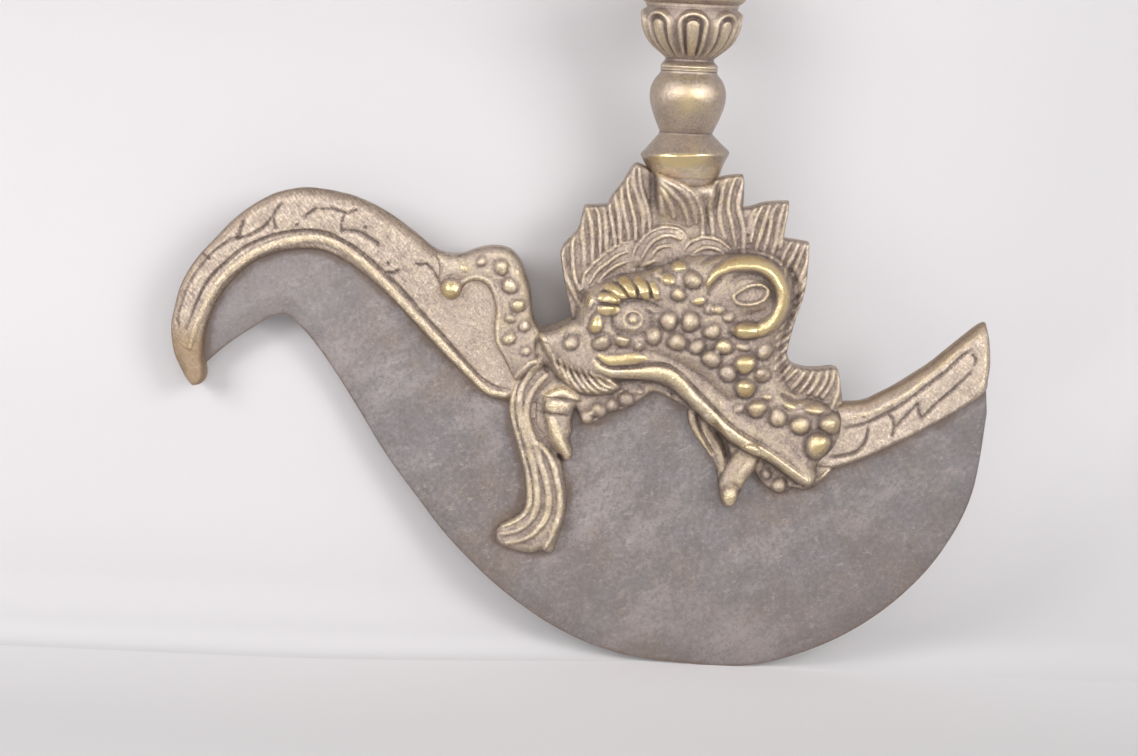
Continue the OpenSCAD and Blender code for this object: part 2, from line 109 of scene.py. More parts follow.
LEFT_OUTER = [
    [-200, -92.5], [-205, -86], [-208.5, -78], [-209.8, -69], [-208.8, -61], [-206, -50],
    [-200.5, -40], [-192, -30], [-183, -20.5], [-171, -12.2], [-161, -8.8], [-152, -8],
    [-140, -9.5], [-130, -12.5], [-120, -17.5], [-109, -25], [-101, -31], [-92, -33.5],
    [-82, -36], [-74, -46], [-69, -60], [-64, -78],
]
LEFT_INNER = [
    [-196, -91], [-194.6, -87], [-195.6, -80], [-195, -70], [-192, -60], [-187, -51],
    [-178, -41.5], [-169, -36.5], [-160, -34], [-150, -33.5], [-142, -36], [-134, -40.5],
    [-126, -46.5], [-116, -55.5], [-106, -65.5], [-96, -75.5], [-86, -84.5], [-79, -90.5],
    [-74, -92.5], [-66, -92],
]
LEFT_GROOVE = [
    [-203, -69.5], [-201, -64], [-199, -58], [-196, -51], [-192, -45], [-187, -40], [-181, -34.5],
    [-175, -31], [-168, -28], [-160, -26], [-152, -25.3], [-145, -26.3], [-140, -28.5],
    [-135, -31], [-130, -34.5], [-125, -38.5], [-118, -44.5], [-112, -50.5], [-105, -58],
    [-97, -66], [-90, -73.5], [-84, -79.5], [-80, -83.5], [-76, -86], [-72, -87.5], [-68, -88],
]
LEFT_LIP = [
    [-201, -76], [-199, -68], [-196, -60], [-193, -54], [-189, -47.5], [-183, -41.5], [-176, -36],
    [-168, -32], [-160, -29.5], [-152, -28.5], [-144, -29.5], [-137, -33], [-130, -38],
    [-122, -45], [-113, -54], [-104, -63], [-95, -72], [-88, -79], [-82, -85], [-77, -88.8],
    [-70, -90],
]
# Chiselled strokes as [line, width, depth]
LEFT_STROKES = [
    [[[-205, -69.5], [-206.2, -64], [-205, -58], [-203, -52], [-200, -46], [-196, -40],
      [-192.5, -36], [-188, -32.5], [-184, -30]], 0.75, 0.3],
    [[[-197.6, -35], [-196, -37.6], [-193.4, -38.8]], 0.55, 0.5],
    [[[-183.4, -30], [-182, -29], [-181, -25.5], [-180, -21.5]], 0.85, 0.36],
    [[[-183, -30], [-178, -28.6], [-175, -27], [-171, -24], [-168.6, -20.6]], 0.7, 0.36],
    [[[-166.5, -26], [-167.8, -20], [-164.6, -14.6]], 0.7, 0.3],
    [[[-155.8, -20.4], [-153, -18], [-150.2, -16.2]], 0.7, 0.32],
    [[[-149, -16.3], [-144, -16], [-140, -17], [-137, -17.5], [-133.4, -15.6]], 0.6, 0.3],
    [[[-138.5, -18], [-140, -22], [-139.5, -26]], 0.6, 0.26],
    [[[-158.8, -23.8], [-157.6, -23]], 0.7, 0.35],
    [[[-140, -24.8], [-134, -24.9], [-129, -27], [-123.6, -30.4]], 0.95, 0.36],
    [[[-130.6, -22.8], [-129.2, -23.4]], 0.55, 0.3],
    [[[-120.4, -41], [-118, -41.6], [-115.6, -40.2]], 0.9, 0.34],
    [[[-120.6, -37.2], [-119.8, -38]], 0.6, 0.3],
    [[[-109, -37], [-106.5, -37.6], [-104, -37.2], [-101, -40.5], [-98.6, -44.6]], 0.5, 0.36],
]
# Below and left of this place the hooked tip is brown
LEFT_TIP = [-190, -62]
RIGHT_OUTER = [
    [56, -92], [62, -88.5], [70, -87.5], [75, -87.2], [80, -86.3], [85, -83.5], [90, -80.8],
    [95, -77.5], [100, -74], [105, -70.5], [110, -66], [115, -61.5], [120, -57], [124, -53.5],
    [127.5, -51.7],
]
RIGHT_INNER = [
    [56, -113], [60, -115], [64, -116], [70, -115.3], [80, -111.5], [90, -106.5], [100, -101],
    [110, -95], [120, -88.5], [129.5, -81], [130.6, -75], [130.8, -67], [130, -60], [128.6, -54],
]
RIGHT_GROOVES = [
    [[[122.6, -62.6], [118, -65.8], [112, -72.3], [106, -77.5], [100, -82.5], [95, -86.5],
      [90, -90], [85, -92.8], [80, -95.5], [75, -97], [71, -98]], 0.8, 0.38],
    [[[81.4, -96], [81, -100], [80, -104], [77, -107.5], [73, -109], [66, -110.5]], 0.85, 0.4],
    [[[88.6, -90.8], [91, -93], [92, -96.5], [91.2, -101]], 0.8, 0.38],
    [[[92.2, -97], [96, -92.4], [99, -89], [101.6, -85.8]], 0.8, 0.36],
    [[[101.2, -86.2], [101.8, -89.5], [103.2, -93]], 1.1, 0.38],
    [[[103.2, -92.4], [108, -87], [113, -82], [118, -77], [123, -71.4]], 0.75, 0.38],
    [[[122, -64.6], [124, -66.6], [123.4, -69.6]], 0.8, 0.3],
]
# The crisp edges between the right rail's face and its bevels, raised a little and given a painted
# highlight
RIGHT_EDGES = [
    [[125, -56.4], [120, -60.8], [115, -65.2], [110, -70], [105, -74.5], [100, -79], [95, -83],
     [90, -86.6], [85, -89.2], [80, -91.5], [72, -93.6]],
    [[125, -56.4], [127, -62], [128.2, -69], [128, -74], [126.4, -79.6]],
]
# The rails' pins, filed flush and out of sight: places, sides, radius and [y, share of the radius]
RAIL_PINS = [[-168, -29], [-142, -29], [-113, -50], [82, -103], [108, -89]]
PIN_SIDES = 24
PIN_RADIUS = 0.8
PIN_PROFILE = [[-2.75, 0.5], [-2.7, 0.85], [-2.55, 1.0], [2.55, 1.0], [2.7, 0.85], [2.75, 0.5]]
# Half thickness of a rail on its face and at its edges
RAIL_HALF = 3.66
RAIL_EDGE_HALF = 2.7

# The makara castings

# The ground that a casting is drawn on, as its lower left and upper right corners
CASTING_LOW, CASTING_HIGH = (-106, -160), (76, 14)
CREST_PLATE = [
    [-42, -66], [-45.5, -50], [-48, -40], [-49.7, -30], [-48.5, -27], [-44, -22], [-42.5, -19.5],
    [-41.7, -16.5], [-41, -12], [-40.3, -10.2], [-36, -10], [-31, -9.5], [-29.5, -6], [-27, -2.5],
    [-24.5, 1], [-22.5, 5], [-20.5, 8], [-18.5, 8], [-15.5, 6.5], [-13.5, 5], [-11.8, 5.3],
    [-8, 4.4], [-3, 3.4], [1, 1.4], [4, 0.3], [9, 1.5], [14.5, 3.5], [20, 4.8], [24.2, 5.1],
    [25, 2], [25, -4], [24.8, -8.6], [28, -8.1], [33, -6.1], [38, -5.4], [43.7, -5], [43.6, -10],
    [42.8, -15], [42.2, -20.3], [46, -20.7], [53, -21.6], [53, -30], [52.8, -38], [51.6, -45],
    [49.5, -52], [47.5, -60], [46, -68], [47.5, -71.5], [50, -73], [55, -74], [60, -73.8],
    [65, -72.9], [67.5, -73.3], [68.5, -76], [69.5, -82], [70.5, -88], [66, -92], [40, -96],
    [0, -66],
]
SKULL = [
    [-38, -44], [-33, -41], [-25, -37.5], [-16, -36], [-8, -33], [0, -29], [10, -28], [20, -26],
    [32, -25.5], [42, -30], [47, -42], [45, -55], [42, -66], [40, -76], [34, -86], [22, -90],
    [10, -82], [0, -76], [-12, -73], [-28, -72], [-38, -68], [-42, -60], [-41, -52],
]
CHEEK = [
    [20, -60], [40, -60], [44, -76], [50, -84], [60, -86], [69, -91], [70, -99], [67, -107],
    [61, -113], [58, -119], [48, -113], [34, -105], [20, -95], [8, -82],
]
LIPS = [
    [-42, -57], [-50, -60.5], [-57, -63.5], [-55, -69], [-48, -76], [-38, -79.8], [-28, -81.2],
    [-14, -81], [-4, -82.6], [6, -89.8], [15, -97.8], [25, -105.4], [35, -109.8], [43, -114],
    [50, -119], [57, -122.4], [60, -117], [50, -105], [30, -92], [10, -76], [-8, -66], [-30, -58],
]
GUM = [
    [-46, -78], [-28, -78], [-8, -78], [4, -84], [9, -91], [5, -92.5], [-2, -89], [-8, -86.8],
    [-12, -89], [-15, -92], [-20, -94.6], [-25, -95.8], [-29, -98.6], [-33, -101],
    [-37, -101], [-39.6, -97], [-42, -91], [-44, -84],
]
CHIN = [
    [30, -104], [38, -106], [50, -110], [60, -108], [68, -112.5], [67, -117.5], [64, -121.4],
    [58, -125.2], [51.4, -124.6], [47.4, -127.4], [43, -126.4], [38, -122.6], [35, -118], [32, -111],
]
STRANDS = [
    [6, -88], [5.8, -96], [8, -102], [12, -107.5], [16, -112.5], [19, -118], [20, -124],
    [20.6, -129.5], [23.6, -133.4], [28, -132.2], [29.8, -127.5], [32, -122], [36, -117], [39, -111],
    [30, -103], [18, -92],
]
TRUNK = [
    [-101, -32], [-95, -32.8], [-90, -32.6], [-86, -30.8], [-80, -29], [-75, -28.7], [-70, -30],
    [-66, -34], [-63.5, -39], [-61.5, -45], [-60.5, -51], [-59.5, -57], [-57, -61.5], [-54.5, -63],
    [-50, -66], [-50, -76], [-58, -80], [-66, -84], [-69, -80], [-72, -74], [-75, -69],
    [-76, -62], [-75.6, -55], [-77, -49.5], [-80, -45], [-84, -43.5], [-88, -45.5], [-90, -50],
    [-94, -52], [-98, -49], [-99.5, -44], [-100, -38],
]
TONGUE = [
    [-58, -74], [-62, -77], [-66, -83], [-68.3, -90], [-68.5, -97], [-67, -103], [-65, -109],
    [-63, -116], [-61, -123], [-60.3, -130], [-60.5, -136], [-62.5, -139.5], [-67, -142.5],
    [-71, -145.5], [-72, -149.5], [-70.5, -153], [-66, -155.5], [-60, -157], [-55.5, -157],
    [-52.5, -155.5], [-49.5, -156.8], [-47, -156], [-45, -150], [-43, -143], [-42, -136],
    [-42.5, -129], [-44, -122], [-45, -117], [-48, -113], [-52, -109], [-55, -104],
    [-56.5, -99], [-56, -94], [-54, -89], [-50, -84], [-46, -80], [-50, -74],
]
FANG = [
    [-54.5, -88.5], [-51, -86], [-46, -84.3], [-41, -86.3], [-37, -90], [-40, -94], [-41.5, -99],
    [-41, -104], [-42, -108], [-40.5, -112], [-41, -115.5], [-43.5, -117.3], [-45.5, -115.5],
    [-48, -112], [-50.5, -108], [-53, -102], [-54.4, -96],
]
FRINGE = [
    [-57, -64], [-52, -66], [-46, -73], [-36, -76], [-26, -79], [-22, -84], [-25, -87],
    [-33, -88.6], [-40, -87.6], [-46, -83.6], [-51, -79], [-55, -72],
]
WEB = [
    [-64, -80], [-58, -74], [-46, -77], [-42, -84], [-44, -100], [-45, -111], [-48, -115],
    [-56, -112], [-61, -104], [-63, -92],
]
WHORL_A = [
    [-41, -47], [-40.6, -40], [-37, -34], [-31, -29], [-25, -25.4], [-20, -23.4], [-17, -27],
    [-18, -36], [-26, -43],
]
WHORL_B = [
    [-21, -34], [-19, -26.4], [-15.4, -20.8], [-11, -17.8], [-6.6, -16.6], [-2, -17], [1.8, -19.2],
    [4, -24], [2, -31], [-8, -34],
]
WHORL_C = [
    [0.6, -29], [3.6, -22.8], [8, -20.5], [12.4, -20.2], [17, -21.6], [21, -25.4], [22, -30],
    [10, -32],
]
# A casting's masses as [outline, height at the rim, height on top, shoulder, smooth outline]
BODIES = [
    [WEB, 2.4, 3.5, 1.2, True],
    [TRUNK, 2.6, 5.2, 2.6, True], [TONGUE, 1.8, 4.1, 2.0, True], [GUM, 1.9, 3.7, 1.2, True],
    [FANG, 2.0, 4.9, 2.2, True], [STRANDS, 1.8, 3.0, 1.2, True], [CHIN, 1.8, 3.2, 1.4, True],
    [CREST_PLATE, 2.9, 3.6, 0.7, False], [FRINGE, 3.2, 5.6, 1.6, True],
    [CHEEK, 3.8, 6.7, 3.6, True], [LIPS, 4.4, 7.4, 2.4, True], [SKULL, 4.2, 8.2, 5.0, True],
    [WHORL_A, 3.7, 4.4, 2.2, True], [WHORL_B, 3.8, 4.7, 2.4, True], [WHORL_C, 3.7, 4.4, 2.0, True],
]
# The front feather rises forward against the handle's foot: its outline, and its height from
# the root to the tip as [how far up, height]
FRONT_FEATHER = [
    [-9.0, -22], [-10.4, -12], [-11.0, -5], [-11.6, 1], [-12.2, 5.4], [-8, 4.6], [-3, 3.4],
    [0.8, 1.4], [4.2, -1], [7.2, -5], [9.2, -10], [10, -16], [9.6, -22],
]
FRONT_FEATHER_RISE = [[-22, 3.2], [-16, 4.0], [-12, 4.9], [-8, 6.1], [-4, 7.4], [0, 8.4], [6, 8.8]]
RISING_ROOT = 3.3
# The hump of the crest that the handle stands on, right of that feather
SADDLE = [
    [-3, 0.8], [3, 1.2], [8, 1.3], [12.4, 1.2], [13.4, -3], [13, -8], [11, -13], [7, -16], [0, -12],
]
SADDLE_RISE = [[-16, 3.4], [-10, 4.3], [-5, 5.5], [-2, 6.4], [0, 6.9], [2, 6.9]]

# Lines of raised metal: the combing of the feathers, from left to right
FEATHER_LINES = [
    [[-49, -30], [-48, -40], [-45.6, -50]],
    [[-48.3, -27.5], [-48, -33], [-46.5, -40], [-43, -47], [-40.5, -51]],
    [[-44.2, -22.5], [-44.6, -28], [-44, -35], [-43, -40], [-41, -45]],
    [[-41.5, -15], [-41, -20], [-40, -27], [-39.5, -33], [-39.2, -37.5]],
    [[-39.5, -10.8], [-37.7, -16], [-36.7, -22], [-36.4, -28], [-36.2, -33]],
    [[-35.8, -10.6], [-34.4, -14], [-33.6, -20], [-33.4, -25], [-33.2, -30]],
    [[-32.6, -10.6], [-31.4, -17], [-30.8, -24], [-30.6, -28]],
    [[-30.4, -9], [-29.1, -15], [-28, -20], [-27.3, -24], [-27.2, -26]],
    [[-28.2, -5], [-27, -10], [-26, -15], [-25.3, -21], [-25, -24]],
    [[-25.8, -2], [-24.8, -9], [-23.5, -14], [-22, -19.5], [-21.6, -22.4]],
    [[-23.5, 1.5], [-22.5, -5], [-21, -10], [-19.6, -15], [-19, -20], [-18.9, -23]],
    [[-21, 6], [-20.6, 0], [-19, -5], [-17.3, -9], [-16, -14], [-16, -19], [-16.2, -20.8]],
    [[-18.6, 6], [-18, 0], [-16, -6], [-14, -12], [-13.4, -15.5], [-13.2, -18.4]],
    [[-9, 4], [-4, 3], [0, 1], [3, -1], [6, -5], [8, -10], [8.5, -16], [8.6, -20]],
    [[-10, 3.2], [-6, 1.5], [-2, -1], [1, -4], [4, -9], [5.6, -15]],
    [[-10.8, 1.4], [-7, -1], [-4, -4], [-1, -7], [1, -11], [2.6, -16]],
    [[-10.8, -1], [-8, -4], [-5.4, -8], [-3.6, -13]],
    [[-11, -3.6], [-9.4, -7], [-8.4, -12]],
    [[13, 2.6], [11.5, -4], [11.3, -10], [12.5, -17], [12.8, -19.6]],
    [[17.6, 3.6], [16.2, 0], [15.4, -5], [15, -10], [16, -16], [18, -21]],
    [[21, 4], [19.5, 0], [18.6, -5], [18.5, -9], [20, -14], [21, -18], [22.3, -24]],
    [[24.2, 3], [23, -2], [22.4, -7], [23.4, -11], [25, -16], [25.6, -21], [25.5, -26]],
    [[29.6, -8.4], [27.8, -13], [27.4, -18]],
    [[32.4, -7.4], [30.3, -12], [29.2, -17], [28.5, -22]],
    [[35.4, -6.6], [33.7, -13], [32.5, -18], [31, -24]],
    [[38.6, -6.2], [36.7, -10], [36.2, -15], [35.5, -20], [34, -26]],
    [[41.4, -6.2], [40, -12], [39.4, -17], [38.7, -22], [37, -28]],
    [[43.2, -7], [42.7, -12], [41.6, -18], [40.6, -24]],
    [[45, -21.6], [43, -25.5], [41.5, -30]],
    [[48, -21.7], [46.4, -26.5], [44, -31.5], [43, -35]],
    [[50.7, -22.4], [48.9, -28], [47, -33], [45.4, -38]],
    [[52.4, -23], [52.3, -29], [50.2, -35], [47.8, -41]],
    [[52.6, -36], [50.4, -40], [47, -44]],
    [[52, -42], [49.4, -45], [46.4, -48]],
    [[51, -46.4], [48.6, -49], [45.8, -51.4]],
    [[50, -50], [47, -53.4], [43, -57]],
    [[48.5, -54.6], [45, -58], [41.4, -61]],
    [[47.4, -59.4], [44.6, -62], [41.6, -64.4]],
    [[46.4, -64], [43.8, -67], [41.4, -69.4]],
    [[45.8, -68.4], [43.4, -71.4], [41, -73.6]],
    [[47.6, -72.4], [45.4, -75.4], [42.6, -78]],
    [[50.6, -73.6], [48, -76.6], [45, -79.6]],
    [[53.8, -74.4], [51.8, -78], [48.8, -82]],
    [[57, -74.4], [55.2, -78.6], [52, -83.4]],
    [[60, -74.2], [58.6, -79], [55.4, -84]],
    [[63, -73.8], [62, -79], [58.8, -84.6]],
    [[65.8, -73.6], [65, -79], [61.6, -85.4]],
    [[68, -75], [68.2, -80], [67, -86], [65.6, -89]],
]
# The arcs on the three whorls
WHORL_LINES = [
    [[-40, -44.5], [-39.4, -39], [-36, -34], [-32, -30], [-28, -27], [-24, -24.6], [-20, -23.6]],
    [[-37, -42], [-34, -36.8], [-30, -33], [-26, -29.8], [-22, -28.2]],
    [[-33.5, -41], [-30, -37], [-26, -34], [-22, -32.4]],
    [[-20, -32], [-18.6, -26], [-15, -21], [-11, -18.2], [-7, -17.2], [-2, -17.6], [1, -19.4]],
    [[-16, -31], [-14.4, -27], [-12, -23.6], [-8, -21.2], [-4, -20.7], [-0.6, -22]],
    [[-12, -30], [-10.6, -27], [-8, -25.3], [-4, -25]],
    [[-17, -36], [-14, -33], [-11, -31.6]],
    [[1.4, -26.4], [4, -22.8], [8, -21.1], [12, -20.8], [16, -22], [20, -25]],
    [[4.4, -28], [9, -25.3], [14, -25.3], [18.8, -28]],
]
# The bank that the brow's petals lie on
BROW_ARC = [
    [-29, -54.4], [-29, -50], [-27.4, -46.6], [-24.6, -44.2], [-20.4, -42.8], [-16, -42.6],
    [-12, -43.4], [-9.4, -45],
]
# The petals of the brow as [line, width], and the cuts between them
BROW_PETALS = [
    [[[-31.6, -51.8], [-28.6, -51.8], [-25.6, -51.4]], 2.4],
    [[[-31.8, -46.6], [-28.6, -46.6], [-25.2, -47.8]], 2.1],
    [[[-29.6, -42.4], [-26, -43.4], [-22.6, -45.8]], 2.0],
    [[[-23.4, -39.8], [-20.8, -41.8], [-19, -45]], 2.4],
    [[[-17.2, -39.4], [-14.9, -41.8], [-13.7, -45.4]], 2.4],
    [[[-11.4, -40.4], [-10, -42.8], [-9.4, -45.8]], 1.5],
]
BROW_CUTS = [
    [[-33, -49.3], [-29, -49.3], [-24.8, -49.7]],
    [[-32, -44.2], [-28.2, -44.6], [-24.4, -47.2]],
    [[-26.8, -40.4], [-23.6, -42.4], [-21, -45.8]],
    [[-20, -39], [-18, -42], [-17, -46]],
    [[-14, -39.2], [-12.4, -42], [-11.6, -46.2]],
]
# The gilt upper lip and the long lower one
MOUTH_LINES = [
    [[-31.4, -71], [-28, -72.6], [-24, -72.4], [-18, -71.4], [-12, -71.2]],
    [[-33.5, -73.4], [-30, -76.6], [-25, -78.2], [-18, -77.6], [-10, -77], [-4, -77.6], [1, -80.2],
     [6, -85.6], [12, -91.4], [18, -96.8], [24, -101.6], [31, -105.6], [38, -108.8], [45, -113],
     [51, -117.2], [57, -120.8]],
]
HORN_LINE = [
    [11.5, -39.4], [14, -35], [18, -32.4], [22, -30.6], [27, -30], [31, -30.2], [35, -31.7],
    [39, -35], [41.6, -39.5], [42.6, -44], [42, -48.5], [39.6, -53], [35.6, -56], [31, -57.6],
    [26, -57.8],
]
EAR_LINE = [
    [22, -43.5], [25, -41.3], [29, -39.2], [33, -38.6], [36, -40.5], [36, -42.6], [34, -45],
    [30, -46.7], [25, -46.9], [22.6, -45.4], [22, -43.5],
]
# The ear's hollow and the horn's tip as [x, z, half length, half width, turn in degrees]
EAR_HOLLOW = [29, -43, 5.6, 2.6, 12]
HORN_TIP = [27.4, -57.6, 5.6, 4.0, 6]
# The ribs of the trunk, the tongue and the fang, and the lashes of the fringe
TRUNK_LINES = [
    [[-91, -47.6], [-89.8, -45], [-87.6, -43.2], [-84, -42], [-80, -42.6], [-77.2, -45],
     [-75.6, -49], [-74.5, -54], [-74.2, -60], [-74.5, -65], [-73.6, -69.4], [-71.4, -72.4],
     [-69, -76], [-67.4, -80.5]],
    [[-58, -60], [-56.6, -63.4], [-53, -66.4]],
]
TONGUE_LINES = [
    [[-56, -74.4], [-60, -76.2], [-63.2, -79.8], [-65.6, -84], [-66.8, -88], [-67.3, -93],
     [-67.2, -98], [-66.4, -102], [-64.8, -107], [-62.8, -113], [-61, -119], [-59.4, -124],
     [-58.5, -129], [-58, -135], [-60, -139.6], [-64, -143], [-69, -145.4]],
    [[-55.6, -76.2], [-59, -79.6], [-61.6, -83.6], [-63.4, -88], [-63.8, -93], [-63.3, -98],
     [-62, -103], [-60.2, -108], [-58.4, -114], [-56.6, -120], [-55.5, -126], [-54.7, -132],
     [-54.8, -137], [-57, -142], [-61, -146], [-66, -148], [-69.6, -148.4]],
    [[-53, -80.6], [-56, -84], [-58.6, -88], [-60.2, -92], [-60.6, -97], [-60.2, -101],
     [-58.4, -106], [-56.2, -111], [-54.2, -117], [-52, -123], [-50.6, -128], [-49.8, -133],
     [-50, -138], [-52, -143], [-56, -148], [-61, -151], [-67, -152.6]],
    [[-54.8, -109.6], [-51.6, -113], [-49, -117.4], [-47.4, -122], [-46.2, -127], [-45.2, -132],
     [-45, -138], [-46.4, -144], [-48.4, -150], [-51, -154.4]],
]
FANG_LINES = [
    [[-53, -89], [-49, -87.2], [-45, -87], [-40.4, -89.2]],
    [[-51.6, -93.8], [-48, -93.6], [-44, -93.4]],
    [[-50.2, -99.6], [-49, -104], [-47, -109], [-44.6, -113], [-43, -114.6]],
]
FRINGE_LINES = [
    [[-55, -65.6], [-54, -69], [-52.4, -72.6]],
    [[-53, -68], [-51.6, -72], [-49.6, -76.4]],
    [[-50.6, -71.6], [-49.4, -75.6], [-47.4, -79.6]],
    [[-47.8, -73.8], [-46.8, -77], [-45.4, -80.4], [-43.4, -83.8]],
    [[-45, -75.8], [-43.6, -80], [-41, -84.2], [-38.4, -87]],
    [[-42.8, -76.4], [-41, -80.2], [-38.4, -83.8], [-35.4, -87]],
    [[-40, -77], [-38, -81], [-35, -84.6], [-31.4, -87.2]],
    [[-37.4, -77.4], [-35, -81.2], [-31.6, -84.6], [-27.4, -86.2]],
    [[-35, -78.2], [-32, -81.2], [-29, -83.6], [-25, -85]],
    [[-32.4, -79.4], [-29, -80.8], [-26, -82.2], [-23.6, -84]],
]
# The strands and the fang under the jaw as [line, width, height]
JAW_LINES = [
    [[[7, -93.6], [8.6, -99.6], [12, -105.4], [16.4, -110.4]], 3.6, 0.7],
    [[[12.6, -94.6], [13.4, -99], [15.4, -103.4], [18.2, -107.4], [20.6, -112], [21.6, -118]],
     1.7, 0.4],
    [[[18.6, -96.6], [22, -101], [25, -106]], 1.2, 0.3],
    [[[32.4, -109], [30.8, -113], [28.4, -117.6], [26.6, -122], [25.4, -126], [24.8, -130]],
     5.6, 2.2],
    [[[50.4, -122.8], [56, -123.6], [62, -119.8], [66, -116]], 1.0, 0.5],
    [[[36.4, -111.4], [34.4, -115], [32, -118.4], [30, -122]], 4.2, 0.7],
]
# Round bosses as [x, z, radius in squares, shine], where a shine below 0 is a dull boss
PEARLS = [
    [-10, -61.4, 3.7, 0.15], [-4, -55, 3.9, 0.4], [5, -55, 4.1, 0.4], [0, -63.6, 3.9, 0.35],
    [8, -65.2, 3.4, 0.3], [5, -38, 3.7, 0.2], [-0.5, -44, 3, 0.5], [14, -58.7, 3.5, 0.25],
    [19, -64.7, 3.7, 0.5], [14.4, -69.8, 4, 0.3], [36, -66.2, 3.5, 0.25], [28.2, -71.6, 4.4, 0.85],
    [21.4, -75.6, 3.7, 0.2], [35.8, -76, 3.3, 0.2], [29, -82, 4.2, 0.85], [34.2, -90.4, 3.9, 0.5],
    [43, -93.6, 3.9, 0.35], [52.6, -96.4, 4.1, 0.5], [65, -95.6, 4.5, 0.5], [60.2, -104.6, 5.5, 0.8],
    [-9.4, -35.6, 2.5, 0.3], [-22.4, -64, 3.1, 0.4], [-31, -65.6, 3.4, 0.15], [-43.5, -66, 3.2, 0],
    [12.6, -49.6, 2.4, 0.1], [20.5, -52.5, 2.4, 0.1], [-15.6, -66.4, 2.2, 0], [27, -90.6, 2.2, 0],
    [-81.6, -34.6, 2.2, 0.3], [-73.4, -36.6, 3.1, 0.35], [-69.6, -44.2, 3.4, 0.45], [-66, -52.2, 3.0, 0.4],
    [-69, -57.6, 2.1, 0.2], [-63, -60.6, 2.5, 0.3], [-69, -66, 2.8, 0.4], [-62, -71, 2.2, 0.3],
    [-36, -98, 3.4, -0.2], [-31, -94.8, 3.4, -0.2], [-25.4, -92.4, 3.0, -0.2], [-19.6, -89.6, 3.3, -0.2],
    [-14, -86, 1.6, -0.1], [40, -118.8, 2.3, -0.1], [45.6, -123, 3.3, -0.05], [-2, -87.4, 1.5, 0.1],
    [-94, -47, 4.8, 1.0],
]
# Long bosses as [x, z, half length, half width, turn in degrees, shine]
OVALS = [
    [-5.2, -38, 3.4, 2.4, -12, 0.9], [-0.8, -32.8, 3.2, 2.4, 5, 0.8], [8, -46.4, 3.1, 2.0, 5, 0.8],
    [16, -49.6, 3.0, 2.0, 0, 0.5], [27, -64.6, 3.2, 1.8, -5, 0.3], [38.4, -85.4, 2.6, 1.4, -8, 0.5],
    [48, -88.6, 3.0, 1.7, -10, 0.7], [58.4, -89.6, 4.4, 2.4, 0, 0.6], [-33.6, -57.8, 4.0, 3.1, 80, 1.0],
    [-36.4, -48.6, 3.4, 1.8, 85, 0.5], [-88.6, -37.8, 2.2, 0.9, -25, 0.9], [-101, -37.8, 1.8, 1.1, 20, 0.4],
    [-66.6, -38.6, 1.6, 0.8, -60, 0.5], [-12, -50.8, 3.2, 1.1, -20, 0.15],
    [25.2, -128.4, 4.8, 4.0, 70, 0.5],
]
# Cut lines as [line, width, depth]
CUTS = [
    [[[-33, -72.4], [-28.4, -75.2], [-23, -75.4], [-16, -74.8], [-10, -73.6], [-4, -73.6],
      [1, -76.2], [6, -80.8], [12, -86.4], [18, -92.2], [24, -97.6], [30, -101.6], [38, -105.6],
      [46, -110.8], [53, -115.6], [57.6, -119.4]], 0.55, 0.6],
    [[[-26.4, -49.4], [-22, -47.5], [-17, -47], [-12, -48.2], [-7, -50.2]], 0.7, 0.6],
    [[[-27.4, -52], [-27, -57], [-24.6, -61], [-20, -62.6]], 0.6, 0.35],
    [[[-54, -90.2], [-46, -90.4], [-39, -91.8]], 0.5, 0.5],
    [[[-54.4, -97], [-49, -96.8], [-42.6, -97.6]], 0.5, 0.5],
    [[[-13.8, 5], [-13.2, 1], [-13, -3], [-12.4, -9]], 1.0, 0.45],
    [[[16.6, -96.6], [19.4, -101.4], [22.4, -107], [24, -113]], 1.4, 1.6],
    [[[10, -94], [11.4, -100], [14.4, -106], [18, -111.6]], 0.7, 0.8],
    [[[-57, -66], [-57.6, -72], [-52, -80]], 1.0, 0.7],
    [[[-57.4, -92], [-57.6, -100], [-53, -108], [-48, -114]], 1.2, 0.4],
    [[[-45, -60], [-46.4, -64], [-45.6, -69]], 0.5, 0.25],
    [[[8.6, -31], [13, -28.6], [20, -27], [28, -26.6], [36, -28], [41, -31.4]], 0.8, 0.7],
    [[[-37.6, -44], [-39.8, -50], [-40.4, -56], [-41, -62], [-36, -70]], 1.5, 0.25],
    [[[43, -84], [50, -86.4], [57, -86], [63, -88], [68, -91.6]], 0.9, 0.8],
    [[[20, -38.4], [26, -35.4], [33, -36], [37.4, -40], [38, -45], [34.6, -49.6], [27, -52]], 1.7, 0.9],
    [[[44, -31], [48, -38], [48.6, -46], [46, -54], [41, -61]], 1.4, 0.7],
    [[[11.6, -44], [13.6, -40], [17, -37]], 1.0, 0.5],
]
# The middle of the eye, and the fold of skin under it
EYE = [-18.6, -55.2]
EYE_FOLD = [[-22.5, -60.6], [-19, -62.6], [-15, -63], [-12, -60.4], [-9.6, -56], [-11, -52]]

# The handle's turned pieces, as rows of [radius, height] in millimetres

